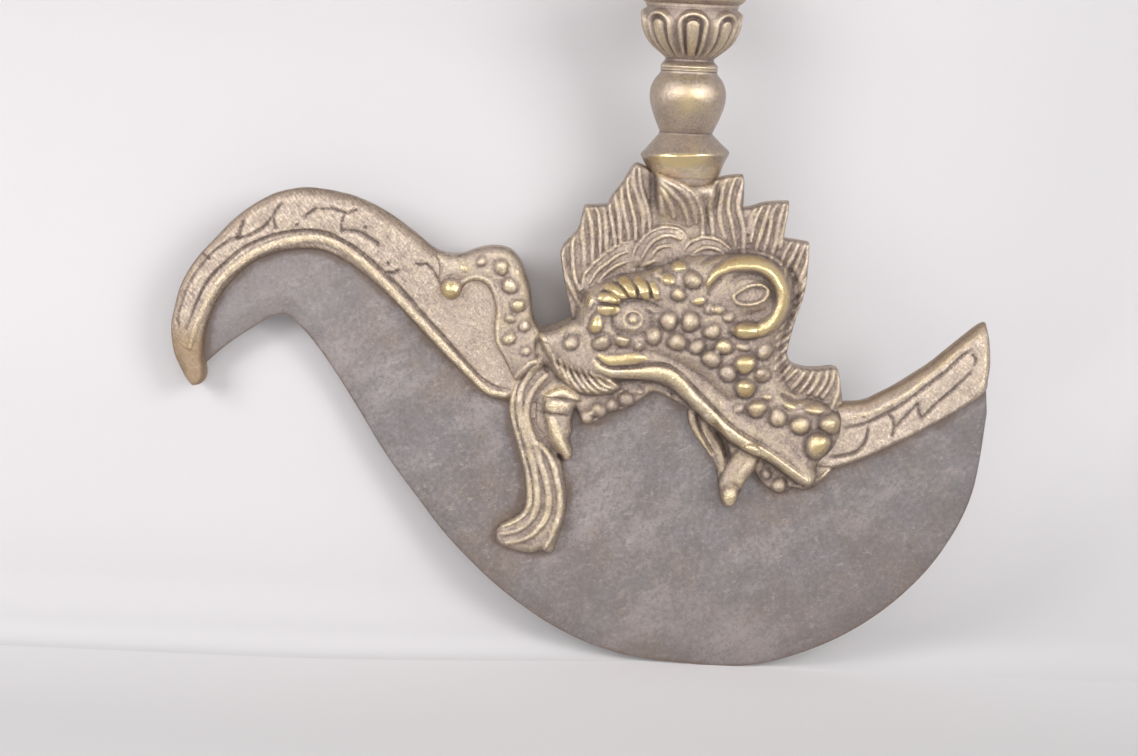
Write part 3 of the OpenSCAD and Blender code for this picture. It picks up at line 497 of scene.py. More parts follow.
TURNED_SIDES = 160
FOOT_PROFILE = [[6.5, 0.0], [6.7, 0.3], [6.85, 0.8], [6.95, 1.3], [7.0, 1.6]]
BLOCK_PROFILE = [
    [7.0, 1.6], [7.2, 2.0], [7.8, 3.3], [8.4, 4.7], [8.8, 5.5], [9.02, 5.95], [9.1, 6.25],
    [8.98, 6.6], [8.66, 7.0], [8.1, 7.55], [7.1, 8.6], [6.1, 9.7], [5.75, 10.1], [5.6, 10.3],
    [5.45, 10.6],
]
BEAD_PROFILE = [
    [5.4, 10.6], [5.6, 11.0], [6.1, 12.1], [6.8, 13.8], [7.4, 15.5], [7.78, 17.2], [7.84, 18.6],
    [7.6, 20.0], [7.0, 21.3], [6.2, 22.3], [5.85, 22.8], [5.75, 23.2],
]
RING_PROFILE = [
    [5.7, 23.2], [5.88, 23.3], [5.94, 23.45], [5.85, 23.6], [5.78, 23.75], [5.92, 23.95],
    [5.95, 24.15], [5.8, 24.4], [5.45, 24.8], [5.1, 25.2], [4.95, 25.6],
]
# The neck ring's radius without its beads as [height, radius], and the height of the block's ridge
RING_PLAIN = [[23.2, 5.78], [24.4, 5.78], [25.6, 4.95]]
BLOCK_RIDGE = 6.1
# Pieces threaded on the tang as [node, profile, unevenness], and the tone of their metal
THREADED = [
    ["foot_ring", FOOT_PROFILE, 0.05], ["neck_block", BLOCK_PROFILE, 0.05],
    ["bead", BEAD_PROFILE, 0.02], ["neck_ring", RING_PROFILE, 0.05],
]
HANDLE_TONE = 0.39
BUD_PROFILE = [
    [4.95, 25.6], [5.4, 26.1], [6.2, 26.9], [7.4, 27.9], [8.6, 29.2], [9.5, 30.9], [10.0, 32.6],
    [10.15, 34.2], [9.95, 35.3], [9.75, 35.8], [9.7, 36.2],
]
BAND_PROFILE = [
    [9.5, 36.2], [9.55, 36.8], [10.0, 37.1], [10.75, 37.7], [10.98, 38.3], [11.0, 39.0],
    [10.7, 39.5], [9.9, 39.8],
]
# The bud's petals: how many, [height, half width as a share of a petal's part], where their
# round tops begin and how high those are
PETALS = 8
PETAL_WIDTH = [[26, 0.40], [29, 0.41], [33, 0.44], [36, 0.44]]
PETAL_SHOULDER, PETAL_TOP = 32.4, 3.1
HUB_PROFILE = [
    [4.7, 39.8], [5.3, 40.4], [6.2, 41.1], [6.4, 41.6], [6.3, 42.0], [6.5, 42.4], [6.5, 45.2],
    [6.3, 45.6], [6.4, 46.0], [6.1, 46.5], [5.0, 47.1], [4.3, 47.6], [3.9, 47.8],
]
SPIKE_PROFILE = [
    [3.8, 47.8], [3.2, 48.8], [2.6, 49.6], [2.9, 50.3], [2.5, 51.0], [2.2, 52.2], [1.9, 55.5],
    [1.8, 59.7], [2.2, 63.5], [2.8, 67.0], [3.0, 69.0], [2.85, 71.5], [2.3, 75.0], [1.5, 78.4],
    [0.7, 80.9], [0.2, 81.7],
]
# The hub's foot, and the middle and depth of the lobes round it
HUB_Z = 39.8
LOBE_Z, LOBE_DEPTH = 43.8, 0.16
# A side prong's middle line as [reach, height over the hub's foot], its radius, how flat it is,
# and its rings as places along it
PRONG_LINE = [
    [6.2, 3.6], [7.8, 4.0], [12.04, 6.4], [14.0, 15.2], [12.04, 24.8], [7.0, 33.6], [3.72, 39.2],
]
PRONG_COUNT = 4
PRONG_SIDES = 28
PRONG_RADIUS = 2.5
PRONG_FLAT = 0.86
PRONG_RINGS = [0.2, 0.25]

# Lesser colours

# Rubbed metal on yellow patches, and the brown oxide along the rails
WORN_GILT = (0.79, 0.67, 0.43)
OCHRE = (0.31, 0.215, 0.125)
# The iron's specks, its stains beside the brass and its rusty edge
IRON_FLECK = (0.47, 0.41, 0.37)
IRON_STAIN = (0.16, 0.105, 0.075)
IRON_RUST = (0.2, 0.145, 0.115)
# The painted shade and painted light on the papers, and the grey of their mottling
PAPER_SHADE_AND_MOTTLE = (0.3, 0.3, 0.3)
PAPER_LIGHT = (0.9, 0.88, 0.88)

# The photograph's viewpoint

CAMERA_AIM = (-0.02185, 0.0, -0.04141)
CAMERA_DISTANCE = 0.56
CAMERA_ELEVATION = math.radians(8.0)
CAMERA_ROLL = math.radians(2.5)
CAMERA_LENS = 85
CAMERA_SENSOR = 36

# The light

BACKGROUND = (0.84, 0.82, 0.825)
WORLD_COLOUR = (0.83, 0.82, 0.83)
WORLD_LIGHT = 0.68
# Lamps as [name, degrees to the right, degrees up, width in metres, power in watts]
LAMPS = [
    ["lamp_left", -44, 20, 0.34, 2.75],
    ["lamp_right", 42, 20, 0.32, 2.65],
    ["lamp_front", 4, 14, 0.4, 0.7],
]
LAMP_DISTANCE = 0.75

# The papers under and behind the chopper, in millimetres

PAPER_REACH = 4000
LEAST_BEND = 14.0
# The sheet stands slantwise, close behind the hook and far behind the right tip: its least
# distance behind the blade, and its slopes as [from x, slope, how softly it begins]
SHEET_NEAR = 4.2
SHEET_SLOPES = [[-70, 0.15, 16], [10, 0.4, 24]]
# It also leans back behind the handle: how far it is at a height, its slope, and where that ends
LEAN_BACK, LEAN_Z = 21.0, 17
LEAN_SLOPE, LEAN_TOP, LEAN_SOFT = 0.3, 25.0, 5
SHEET_ENDS = 110
# The papers fade into the background between these distances, in metres
FADE_FROM, FADE_TO = 0.25, 1.0


class ChopperSizes(bpy.types.PropertyGroup):
    """Sizes of the ornament and the surface detail"""

    cell: FloatProperty(
        name="Relief cell", description="Spacing of the points that the castings are drawn with",
        default=0.21 * MM, min=0.1 * MM, max=1 * MM, precision=5, unit="LENGTH")
    feather_height: FloatProperty(
        name="Feather height", description="Height of the ridges on the crest's feathers",
        default=0.62 * MM, min=0, max=2 * MM, precision=5, unit="LENGTH")
    whorl_height: FloatProperty(
        name="Whorl height", description="Height of the lines on the whorls above the brow",
        default=0.55 * MM, min=0, max=2 * MM, precision=5, unit="LENGTH")
    pearl_height: FloatProperty(
        name="Pearl height", description="Height of a pearl as a share of its radius",
        default=0.75, min=0.1, max=1.2, subtype="FACTOR")
    horn_height: FloatProperty(
        name="Horn height", description="Height of the horn above the skull",
        default=1.9 * MM, min=0, max=3 * MM, precision=5, unit="LENGTH")
    blade_thickness: FloatProperty(
        name="Blade thickness", description="Thickness of the blade away from its edge",
        default=2.4 * MM, min=1 * MM, max=4 * MM, precision=5, unit="LENGTH")
    edge_thickness: FloatProperty(
        name="Edge thickness", description="Thickness left at the cutting edge",
        default=0.8 * MM, min=0.2 * MM, max=2 * MM, precision=5, unit="LENGTH")
    petal_height: FloatProperty(
        name="Petal height", description="Height of the rims of the bud's petals",
        default=0.42 * MM, min=0, max=1 * MM, precision=5, unit="LENGTH")


class ChopperColours(bpy.types.PropertyGroup):
    """Colours of the metals and the stage"""

    brass: FloatVectorProperty(
        name="Aged brass", description="Body colour of the cast brass",
        default=(0.46, 0.372, 0.305), size=3, min=0, max=1, subtype="COLOR")
    brass_worn: FloatVectorProperty(
        name="Worn brass", description="Brass on the ridges that hands have rubbed",
        default=(0.80, 0.69, 0.575), size=3, min=0, max=1, subtype="COLOR")
    # Also the colour of the painted highlight on the neck block, the bead and the right rail's edges
    brass_bright: FloatVectorProperty(
        name="Bright brass", description="Brass polished yellow on the highest points",
        default=(0.64, 0.505, 0.27), size=3, min=0, max=1, subtype="COLOR")
    brass_olive: FloatVectorProperty(
        name="Olive brass", description="Yellower patches in the aged brass",
        default=(0.56, 0.465, 0.285), size=3, min=0, max=1, subtype="COLOR")
    brass_film: FloatVectorProperty(
        name="Film", description="Thin mauve-grey patina on low metal",
        default=(0.335, 0.272, 0.236), size=3, min=0, max=1, subtype="COLOR")
    brass_hollow: FloatVectorProperty(
        name="Patina", description="Brown patina that stays in the hollows",
        default=(0.185, 0.149, 0.129), size=3, min=0, max=1, subtype="COLOR")
    iron: FloatVectorProperty(
        name="Iron", description="Body colour of the forged blade",
        default=(0.24, 0.211, 0.205), size=3, min=0, max=1, subtype="COLOR")
    iron_brown: FloatVectorProperty(
        name="Brown iron", description="Rust-brown bloom on the blade and along its edge",
        default=(0.25, 0.203, 0.178), size=3, min=0, max=1, subtype="COLOR")
    floor: FloatVectorProperty(
        name="Floor", description="Colour of the floor",
        default=(0.81, 0.79, 0.795), size=3, min=0, max=1, subtype="COLOR")
    backdrop: FloatVectorProperty(
        name="Backdrop", description="Colour of the sheet behind the chopper",
        default=(0.625, 0.608, 0.616), size=3, min=0, max=1, subtype="COLOR")


def sizes():
    """The sizes set in the panel."""
    return bpy.context.scene.chopper_sizes


def colours():
    """The colours set in the panel."""
    return bpy.context.scene.chopper_colours


# Lines and reliefs

def smooth_line(points, steps=5):
    """Points of a smooth line through the given ones."""
    given = np.array(points, float)
    padded = np.vstack([given[0], given, given[-1]])
    t = (np.arange(steps) / steps)[:, None]
    pieces = [
        (2 * b + (c - a) * t + (2 * a - 5 * b + 4 * c - d) * t**2 + (3 * b - a - 3 * c + d) * t**3) / 2
        for a, b, c, d in zip(padded, padded[1:], padded[2:], padded[3:])
    ]
    return np.vstack([*pieces, given[-1:]])


def smooth_max(a, b, blend):
    """The larger of two values, rounded over where they are closer than blend."""
    near = np.maximum(blend - np.abs(a - b), 0)
    return np.maximum(a, b) + near * near / (4 * blend)


def spread(values, cells):
    """Values blurred over about this many cells each way."""
    far = math.ceil(3 * cells)
    reach = np.arange(-far, far + 1)
    kernel = np.exp(-0.5 * (reach / cells) ** 2)
    kernel /= kernel.sum()
    for axis in (0, 1):
        values = np.apply_along_axis(np.convolve, axis, values, kernel, mode="same")
    return values


def ripple(x, z, scale, seed):
    """Smooth unevenness between -1 and 1 with bumps about scale millimetres across."""
    rng = np.random.default_rng(seed)
    waves = zip(rng.uniform(0, math.pi, 7), rng.uniform(0, 6.28, 7), rng.uniform(0.6, 1.6, 7))
    total = 0
    for turn, phase, pitch in waves:
        run = x * math.cos(turn) + z * math.sin(turn)
        total = total + np.sin(run * 6.28 / (scale * pitch) + phase)
    return total / 4


class Relief:
    """A casting drawn as a height map over the blade's plane, seen from the front."""

    def __init__(self, low, high, cell):
        self.cell = cell
        self.x = np.arange(low[0] * SQUARE, high[0] * SQUARE, cell)
        self.z = np.arange(low[1] * SQUARE, high[1] * SQUARE, cell)
        shape = (len(self.x), len(self.z))
        self.height = np.zeros(shape)
        self.outside = np.full(shape, 9.0)
        # How rubbed and where a painted highlight lies, how dark, how light and how brown the metal is
        self.shine = np.zeros(shape)
        self.dull = np.zeros(shape)
        self.pale = np.zeros(shape)
        self.ochre = np.zeros(shape)

    def window(self, line, reach):
        """The part of the map within reach of a line, as slices and as places."""
        low, high = line.min(0) - reach, line.max(0) + reach
        i = slice(*np.searchsorted(self.x, [low[0], high[0]]))
        j = slice(*np.searchsorted(self.z, [low[1], high[1]]))
        return (i, j), self.x[i][:, None], self.z[j][None, :]

    def along(self, line, reach):
        """The window round a line, the distance from it, and how far along it that is."""
        where, x, z = self.window(line, reach)
        nearest = np.full(np.broadcast_shapes(x.shape, z.shape), 1e6)
        share = np.zeros_like(nearest)
        run = np.concatenate([[0], np.cumsum(np.linalg.norm(np.diff(line, axis=0), axis=1))])
        for k in range(len(line) - 1):
            start, step = line[k], line[k + 1] - line[k]
            ahead = (x - start[0]) * step[0] + (z - start[1]) * step[1]
            t = np.clip(ahead / max(step @ step, 1e-9), 0, 1)
            far = (x - start[0] - t * step[0]) ** 2 + (z - start[1] - t * step[1]) ** 2
            closer = far < nearest
            nearest = np.where(closer, far, nearest)
            share = np.where(closer, (run[k] + t * (run[k + 1] - run[k])) / run[-1], share)
        return where, np.sqrt(nearest), share

    def depth_inside(self, outline, reach, smooth):
        """The window round a closed outline and the distance inside it, negative outside."""
        closed = outline + outline[:1]
        line = (smooth_line(closed) if smooth else np.array(closed, float)) * SQUARE
        where, far, _ = self.along(line, reach)
        _, x, z = self.window(line, reach)
        inside = np.zeros(far.shape, bool)
        for (ax, az), (bx, bz) in zip(line[:-1], line[1:]):
            if az != bz:
                inside ^= ((az > z) != (bz > z)) & (x < ax + (z - az) * (bx - ax) / (bz - az))
        return where, np.where(inside, far, -far)

    def body(self, outline, rim, top, shoulder, smooth=True):
        """Adds a rounded mass that is rim high at its outline and top high from the shoulder in."""
        where, inside = self.depth_inside(outline, 2.0, smooth)
        t = np.clip(inside / shoulder, 0, 1)
        lift = rim + (top - rim) * (1 - (1 - t) ** 2) ** (0.5 if shoulder < 3 else 0.75)
        self.lay(where, inside, lift, rim)

    def lay(self, where, inside, lift, rim):
        """Joins a mass to what is there already."""
        lift = np.where(inside > 0, lift, np.maximum(rim + inside * 4, 0))
        self.height[where] = smooth_max(self.height[where], lift, 0.25)
        self.outside[where] = np.minimum(self.outside[where], -inside)

    def bevel(self, points, width, drop, dull):
        """Slopes the metal down towards a line, and dull darkens the slope, partly as painted shade."""
        where, far, _ = self.along(smooth_line(points) * SQUARE, width)
        slope = np.clip(1 - far / width, 0, 1)
        self.height[where] -= drop * slope
        self.dull[where] = np.maximum(self.dull[where], dull * np.clip(slope * 6, 0, 1))

    def ridge(self, points, width, height, shine=0.0, start=0.35, end=0.6, bow=1.0, pale=0.0):
        """Raises a round-backed line. start and end are its widths there as shares of the width,
        and pale lightens it."""
        where, far, share = self.along(smooth_line(points) * SQUARE, width)
        taper = np.minimum(1, start + share * (1 - start) * 4)
        taper = taper * np.minimum(1, end + (1 - share) * (1 - end) * 4)
        across = np.clip(1 - (far / (width / 2 * taper)) ** 2, 0, 1) ** (0.5 * bow)
        self.height[where] += height * across * taper
        self.shine[where] = np.maximum(self.shine[where], shine * across**1.6)
        self.pale[where] = np.maximum(self.pale[where], pale * across)

    def cut(self, points, width, depth, dull=0.0):
        """Sinks a soft-edged line, which dull darkens as well."""
        where, far, share = self.along(smooth_line(points) * SQUARE, width * 1.6)
        fade = np.clip(np.minimum(share, 1 - share) * 8 + 0.35, 0, 1)
        across = fade * np.exp(-((far / (width * 0.5)) ** 2))
        self.height[where] -= depth * across
        self.dull[where] = np.maximum(self.dull[where], dull * across)

    def boss(self, x, z, long, wide, turn=0, shine=0.0, height=0.75):
        """Raises a soft round or oval boss with a cut round its foot. Its half sizes are in
        squares and its height is a share of the smaller one."""
        centre = np.array([[x, z]]) * SQUARE
        where, px, pz = self.window(centre, (long + 2) * SQUARE)
        c, s = math.cos(math.radians(turn)), math.sin(math.radians(turn))
        u = ((px - centre[0, 0]) * c + (pz - centre[0, 1]) * s) / (long * SQUARE)
        v = ((pz - centre[0, 1]) * c - (px - centre[0, 0]) * s) / (wide * SQUARE)
        around = np.arctan2(v, u)
        wobble = 1 + 0.045 * np.sin(3 * around + x) + 0.07 * np.sin(2 * around + z)
        far = np.sqrt(u * u + v * v) * wobble
        dome = np.clip(1 - far * far, 0, 1) ** 0.62 * (1 + 0.12 * far * np.sin(around + 3 * x + z))
        moat = np.exp(-(((far - 1.08) / 0.2) ** 2))
        self.height[where] += wide * SQUARE * (height * dome - 0.13 * moat)
        self.dull[where] = np.maximum(self.dull[where], 0.16 * moat + max(-shine, 0) * dome)
        self.shine[where] = np.maximum(self.shine[where], shine * np.maximum(dome, 0) ** 1.4)

    def wear(self, seed, cells):
        """Rounds what hands have worn, over some cells, and leaves the unevenness of a casting."""
        self.height = spread(self.height, cells)
        rng = np.random.default_rng(seed)
        for reach, high in ((1, 0.012), (2, 0.03), (5, 0.05)):
            rough = spread(rng.standard_normal(self.height.shape), reach)
            self.height += high * rough / rough.std()

    def tone(self):
        """0 in the hollows, 0.5 on plain metal, 1 on the ridges."""
        solid = (self.outside < 0.1).astype(float)
        rise = 0
        for reach, high in ((0.45, 0.24), (1.5, 1.5)):
            cells = round(reach / self.cell)
            even = spread(self.height * solid, cells) / (spread(solid, cells) + 1e-3)
            rise = rise + (self.height - even) / high
        return np.clip(0.5 + 0.22 * rise - self.dull + self.pale, 0, 1)

    def skin(self, both_faces):
        """The casting's surface as points in millimetres and faces."""
        spare = 3 * self.cell
        high = self.height.max() + spare
        y = np.arange(-high, high if both_faces else spare, self.cell)
        rise_x, rise_z = np.gradient(self.height, self.cell)
        lean = np.maximum(1 / np.sqrt(1 + rise_x**2 + rise_z**2), 0.3)[:, :, None]
        depth = np.abs(y) if both_faces else -y
        field = smooth_max((depth - self.height[:, :, None]) * lean, self.outside[:, :, None], 0.5)
        if not both_faces:
            field = np.maximum(field, y + 0.02)
        grid = openvdb.FloatGrid(1.0)
        grid.copyFromArray(np.clip(field, -1, 1).astype(np.float32))
        points, triangles, quads = grid.convertToPolygons(isovalue=0.0, adaptivity=MERGE)
        places = points.astype(float) * self.cell + [self.x[0], self.z[0], y[0]]
        return places[:, [0, 2, 1]], [*quads, *triangles]


# Meshes

def new_piece(name, points, faces):
    """A smooth-shaded object from points in millimetres, with its faces turned outwards."""
    mesh = bpy.data.meshes.new(name)
    mesh.from_pydata((np.asarray(points) * MM).tolist(), [], [list(map(int, f)) for f in faces])
    work = bmesh.new()
    work.from_mesh(mesh)
    bmesh.ops.recalc_face_normals(work, faces=work.faces)
    if work.calc_volume(signed=True) < 0:
        bmesh.ops.reverse_faces(work, faces=work.faces)
    work.to_mesh(mesh)
    work.free()
    mesh.shade_smooth()
    piece = bpy.data.objects.new(name, mesh)
    bpy.context.collection.objects.link(piece)
    return piece


def merge_flat_back(mesh):
    """Gives a casting's flat back, which lies inside the blade, as few faces as it needs."""
    work = bmesh.new()
    work.from_mesh(mesh)
    flat = {v for v in work.verts if v.co.y > -0.001 * MM}
    back = [f for f in work.faces if flat.issuperset(f.verts)]
    bmesh.ops.delete(work, geom=back, context="FACES")
    bmesh.ops.delete(work, geom=[v for v in work.verts if not v.link_faces], context="VERTS")
    rim = [e for e in work.edges if e.is_boundary]
    bmesh.ops.triangle_fill(work, edges=rim, normal=(0, 1, 0))
    work.to_mesh(mesh)
    work.free()
    mesh.shade_smooth()


def corners(mesh):
    """The mesh's points in millimetres."""
    flat = np.empty(len(mesh.vertices) * 3, np.float32)
    mesh.vertices.foreach_get("co", flat)
    return flat.reshape(-1, 3) / MM


def paint(mesh, name, values):
    """Stores one number at each point for the materials to read."""
    layer = mesh.attributes.new(name, "FLOAT", "POINT")
    layer.data.foreach_set("value", np.broadcast_to(values, len(mesh.vertices)).astype(np.float32))


def nearest_cells(places, lines, cell):
    """Which of a relief's columns or rows some places are nearest to."""
    return np.clip(((places - lines[0]) / cell).round().astype(int), 0, len(lines) - 1)


def paint_relief(mesh, relief):
    """Stores the relief's tone, shine and ochre on its skin, with plain side walls."""
    points = corners(mesh)
    i = nearest_cells(points[:, 0], relief.x, relief.cell)
    j = nearest_cells(points[:, 2], relief.z, relief.cell)
    wall = np.clip((relief.height[i, j] - np.abs(points[:, 1]) - 0.25) / 0.5, 0, 1)
    paint(mesh, "tone", relief.tone()[i, j] * (1 - wall) + 0.5 * wall)
    paint(mesh, "shine", relief.shine[i, j] * (1 - wall))
    paint(mesh, "ochre", relief.ochre[i, j])


def quads_between(index):
    """The faces between neighbouring rows and columns of numbered points."""
    corners_round = [index[:-1, :-1], index[:-1, 1:], index[1:, 1:], index[1:, :-1]]
    return np.stack(corners_round, -1).reshape(-1, 4)


def quads_round(index):
    """The faces between neighbouring rings of numbered points, each row a closed ring."""
    return quads_between(np.hstack([index, index[:, :1]]))


def dress(piece, material, slot, *nodes):
    """Gives a piece its material, hangs it on the body and hides the CAD nodes that it stands in for."""
    piece.data.materials.append(material)
    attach(piece, BODY)
    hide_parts(*nodes)


def turned_points(profile, sides, steps=6):
    """Rows of a turned piece as angles, radii and heights."""
    line = smooth_line(profile, steps)
    angle = np.arange(sides) * 2 * math.pi / sides
    return np.meshgrid(angle, line[:, 0]) + [np.repeat(line[:, 1:2], sides, axis=1)]


def turned_piece(name, angle, radius, height, tone, shine):
    """A turned piece whose radius and height may vary round it."""
    rows, sides = radius.shape
    points = np.stack([radius * np.sin(angle), -radius * np.cos(angle), height], -1).reshape(-1, 3)
    index = np.arange(rows * sides).reshape(rows, sides)
    piece = new_piece(name, points, [*quads_round(index), index[0][::-1], index[-1]])
    paint(piece.data, "tone", np.broadcast_to(tone, radius.shape).reshape(-1))
    paint(piece.data, "shine", np.broadcast_to(shine, radius.shape).reshape(-1))
    return piece


# Materials

class Tree:
    """A material's nodes, joined up as they are added."""

    def __init__(self, name):
        self.material = bpy.data.materials.new(name)
        self.material.use_nodes = True
        self.nodes = self.material.node_tree.nodes
        self.links = self.material.node_tree.links
        self.shader = self.nodes["Principled BSDF"]
        self.place = self.nodes.new("ShaderNodeTexCoord").outputs["Object"]

    def set(self, socket, value):
        """Joins a socket to another one, or gives it a number or a colour."""
        if isinstance(value, bpy.types.NodeSocket):
            self.links.new(value, socket)
        elif isinstance(value, (tuple, list)) or hasattr(value, "r"):
            socket.default_value = (*value[:3], 1)
        else:
            socket.default_value = value

    def attribute(self, name):
        """A number that paint stored on the mesh."""
        node = self.nodes.new("ShaderNodeAttribute")
        node.attribute_name = name
        return node.outputs["Fac"]

    def axis(self, name):
        """Places along X, Y or Z in metres."""
        node = self.nodes.new("ShaderNodeSeparateXYZ")
        self.links.new(self.place, node.inputs[0])
        return node.outputs[name]

    def noise(self, size, detail=4, roughness=0.55, place=None):
        """Noise between 0 and 1 with blotches about size metres across."""
        node = self.nodes.new("ShaderNodeTexNoise")
        self.links.new(place or self.place, node.inputs["Vector"])
        node.inputs["Scale"].default_value = 1 / size
        node.inputs["Detail"].default_value = detail
        node.inputs["Roughness"].default_value = roughness
        return node.outputs["Fac"]

    def stretched(self, scale, turn):
        """Places turned and then squeezed, for marks that run one way."""
        node = self.nodes.new("ShaderNodeMapping")
        node.vector_type = "TEXTURE"
        self.links.new(self.place, node.inputs["Vector"])
        node.inputs["Rotation"].default_value = (0, turn, 0)
        node.inputs["Scale"].default_value = [1 / v for v in scale]
        return node.outputs["Vector"]

    def between(self, value, low, high, to_low=0.0, to_high=1.0):
        """Maps low..high of a value to to_low..to_high, smoothly and clamped."""
        node = self.nodes.new("ShaderNodeMapRange")
        node.interpolation_type = "SMOOTHSTEP"
        for socket, v in zip(node.inputs, (value, low, high, to_low, to_high)):
            self.set(socket, v)
        return node.outputs["Result"]

    def maths(self, operation, a, b=0.0):
        """A sum of two values, as the operation says."""
        node = self.nodes.new("ShaderNodeMath")
        node.operation = operation
        self.set(node.inputs[0], a)
        self.set(node.inputs[1], b)
        return node.outputs[0]

    def mix(self, factor, a, b):
        """Colour a where the factor is 0 and b where it is 1."""
        node = self.nodes.new("ShaderNodeMix")
        node.data_type = "RGBA"
        self.set(node.inputs[0], factor)
        self.set(node.inputs[6], a)
        self.set(node.inputs[7], b)
        return node.outputs[2]

    def mix_shaders(self, factor, a, b):
        """Shader a where the factor is 0 and b where it is 1."""
        node = self.nodes.new("ShaderNodeMixShader")
        self.set(node.inputs[0], factor)
        self.links.new(a, node.inputs[1])
        self.links.new(b, node.inputs[2])
        return node.outputs[0]

    def bump(self, height, distance, strength=1.0, below=None):
        """Fine unevenness on top of another bump."""
        node = self.nodes.new("ShaderNodeBump")
        node.inputs["Strength"].default_value = strength
        node.inputs["Distance"].default_value = distance
        self.links.new(height, node.inputs["Height"])
        if below is not None:
            self.links.new(below, node.inputs["Normal"])
        return node.outputs["Normal"]


def seen_by_camera(nodes, links):
    """1 for what the camera sees, straight or in metal and glass."""
    path = nodes.new("ShaderNodeLightPath")
    straight, seen = nodes.new("ShaderNodeMath"), nodes.new("ShaderNodeMath")
    straight.operation = seen.operation = "MAXIMUM"
    links.new(path.outputs["Is Camera Ray"], straight.inputs[0])
    links.new(path.outputs["Is Glossy Ray"], straight.inputs[1])
    links.new(straight.outputs[0], seen.inputs[0])
    links.new(path.outputs["Is Transmission Ray"], seen.inputs[1])
    return seen.outputs[0]


def times(colour, shares):
    """A colour made lighter or darker, or tinted by three shares."""
    return tuple(np.multiply(colour, shares).tolist())


def aged_brass(name, painted=True, grain=1.0, warm=0.0, filed=False, polish=0.0, gilded=1.0):
    """Cast brass: brown in the hollows, dull tan on plain metal, yellow where it is rubbed and where the
    shine attribute paints a highlight.
    warm pushes the plain metal towards yellow, gilded sets how strong its yellow patches are,
    filed adds file marks and polish smooths it."""
    c, tree = colours(), Tree(name)
    tone = tree.attribute("tone") if painted else tree.noise(4 * MM)
    shine = tree.attribute("shine") if painted else tree.between(tree.noise(3 * MM), 0.5, 0.8)
    blotch = tree.noise(6 * MM, 5, 0.62)
    speck = tree.noise(0.55 * MM, 6, 0.8)
    cloudy = 0.05 if filed else 0.1
    uneven = tree.maths("ADD", tone, tree.between(blotch, 0.25, 0.75, -cloudy, cloudy))
    uneven = tree.maths("ADD", uneven, tree.between(speck, 0.32, 0.68, -0.24 * grain, 0.24 * grain))
    if filed:
        first = tree.noise(0.3 * MM, 4, 0.7, tree.stretched((1.0, 0.4, 0.14), -0.75))
        second = tree.noise(0.4 * MM, 4, 0.7, tree.stretched((1.0, 0.4, 0.2), 0.5))
        marks = tree.maths("ADD", first, tree.maths("MULTIPLY", second, 0.5))
        reach = tree.between(tree.axis("X"), -0.06, -0.044, 0.24, 0.09)
        file_tone = tree.between(marks, 0.55, 0.95, -1.0, 1.0)
        uneven = tree.maths("ADD", uneven, tree.maths("MULTIPLY", file_tone, reach))
    pit = tree.noise(0.85 * MM, 5, 0.85)
    uneven = tree.maths("ADD", uneven, tree.between(pit, 0.58, 0.68, 0, -0.34 * grain))
    uneven = tree.maths("ADD", uneven, tree.between(pit, 0.32, 0.4, 0.26 * grain, 0))
    gilt = tree.noise(3.5 * MM, 5, 0.65)
    body = tree.mix(tree.between(gilt, 0.42, 0.64, 0, 0.42 * gilded), tuple(c.brass), tuple(c.brass_olive))
    worn = tree.mix(tree.between(gilt, 0.4, 0.62, 0, 0.6 * gilded), tuple(c.brass_worn), WORN_GILT)
    if warm:
        body = tree.mix(warm, body, tuple(c.brass_bright))
    colour = tree.mix(tree.between(uneven, -0.05, 0.26), tuple(c.brass_hollow), tuple(c.brass_film))
    colour = tree.mix(tree.between(uneven, 0.24, 0.54), colour, body)
    colour = tree.mix(tree.between(uneven, 0.56, 0.98, 0, 0.95), colour, worn)
    ochre = tree.maths("MULTIPLY", tree.attribute("ochre"), tree.between(speck, 0.3, 0.6, 0.7, 1.0))
    colour = tree.mix(ochre, colour, OCHRE)
    # Yellow where the shine attribute is high: rubbed metal, and on the neck block, the bead and the right
    # rail's edges a painted highlight
    rubbed_and_highlit = tree.maths("MULTIPLY", shine, tree.between(speck, 0.25, 0.5, 0.6, 1.0))
    colour = tree.mix(tree.between(rubbed_and_highlit, 0.1, 0.8), colour, tuple(c.brass_bright))
    tree.set(tree.shader.inputs["Base Color"], colour)
    tree.shader.inputs["Metallic"].default_value = 0.86
    rough = tree.between(uneven, 0.1, 0.8, 0.58 - polish, 0.34 - polish)
    rough = tree.maths("SUBTRACT", rough, tree.between(shine, 0.03, 0.6, 0, 0.16))
    rough = tree.maths("ADD", rough, tree.between(speck, 0.3, 0.7, -0.06, 0.08))
    tree.set(tree.shader.inputs["Roughness"], rough)
    normal = tree.bump(tree.noise(2.2 * MM, 3, 0.5), 0.16 * MM * grain, 0.7)
    if filed:
        normal = tree.bump(marks, 0.12 * MM, 0.8, normal)
    pitted = tree.maths("MULTIPLY", speck, tree.between(shine, 0.1, 0.8, 1.0, 0.3))
    tree.set(tree.shader.inputs["Normal"], tree.bump(pitted, 0.24 * MM * grain, 0.85, normal))
    return tree.material


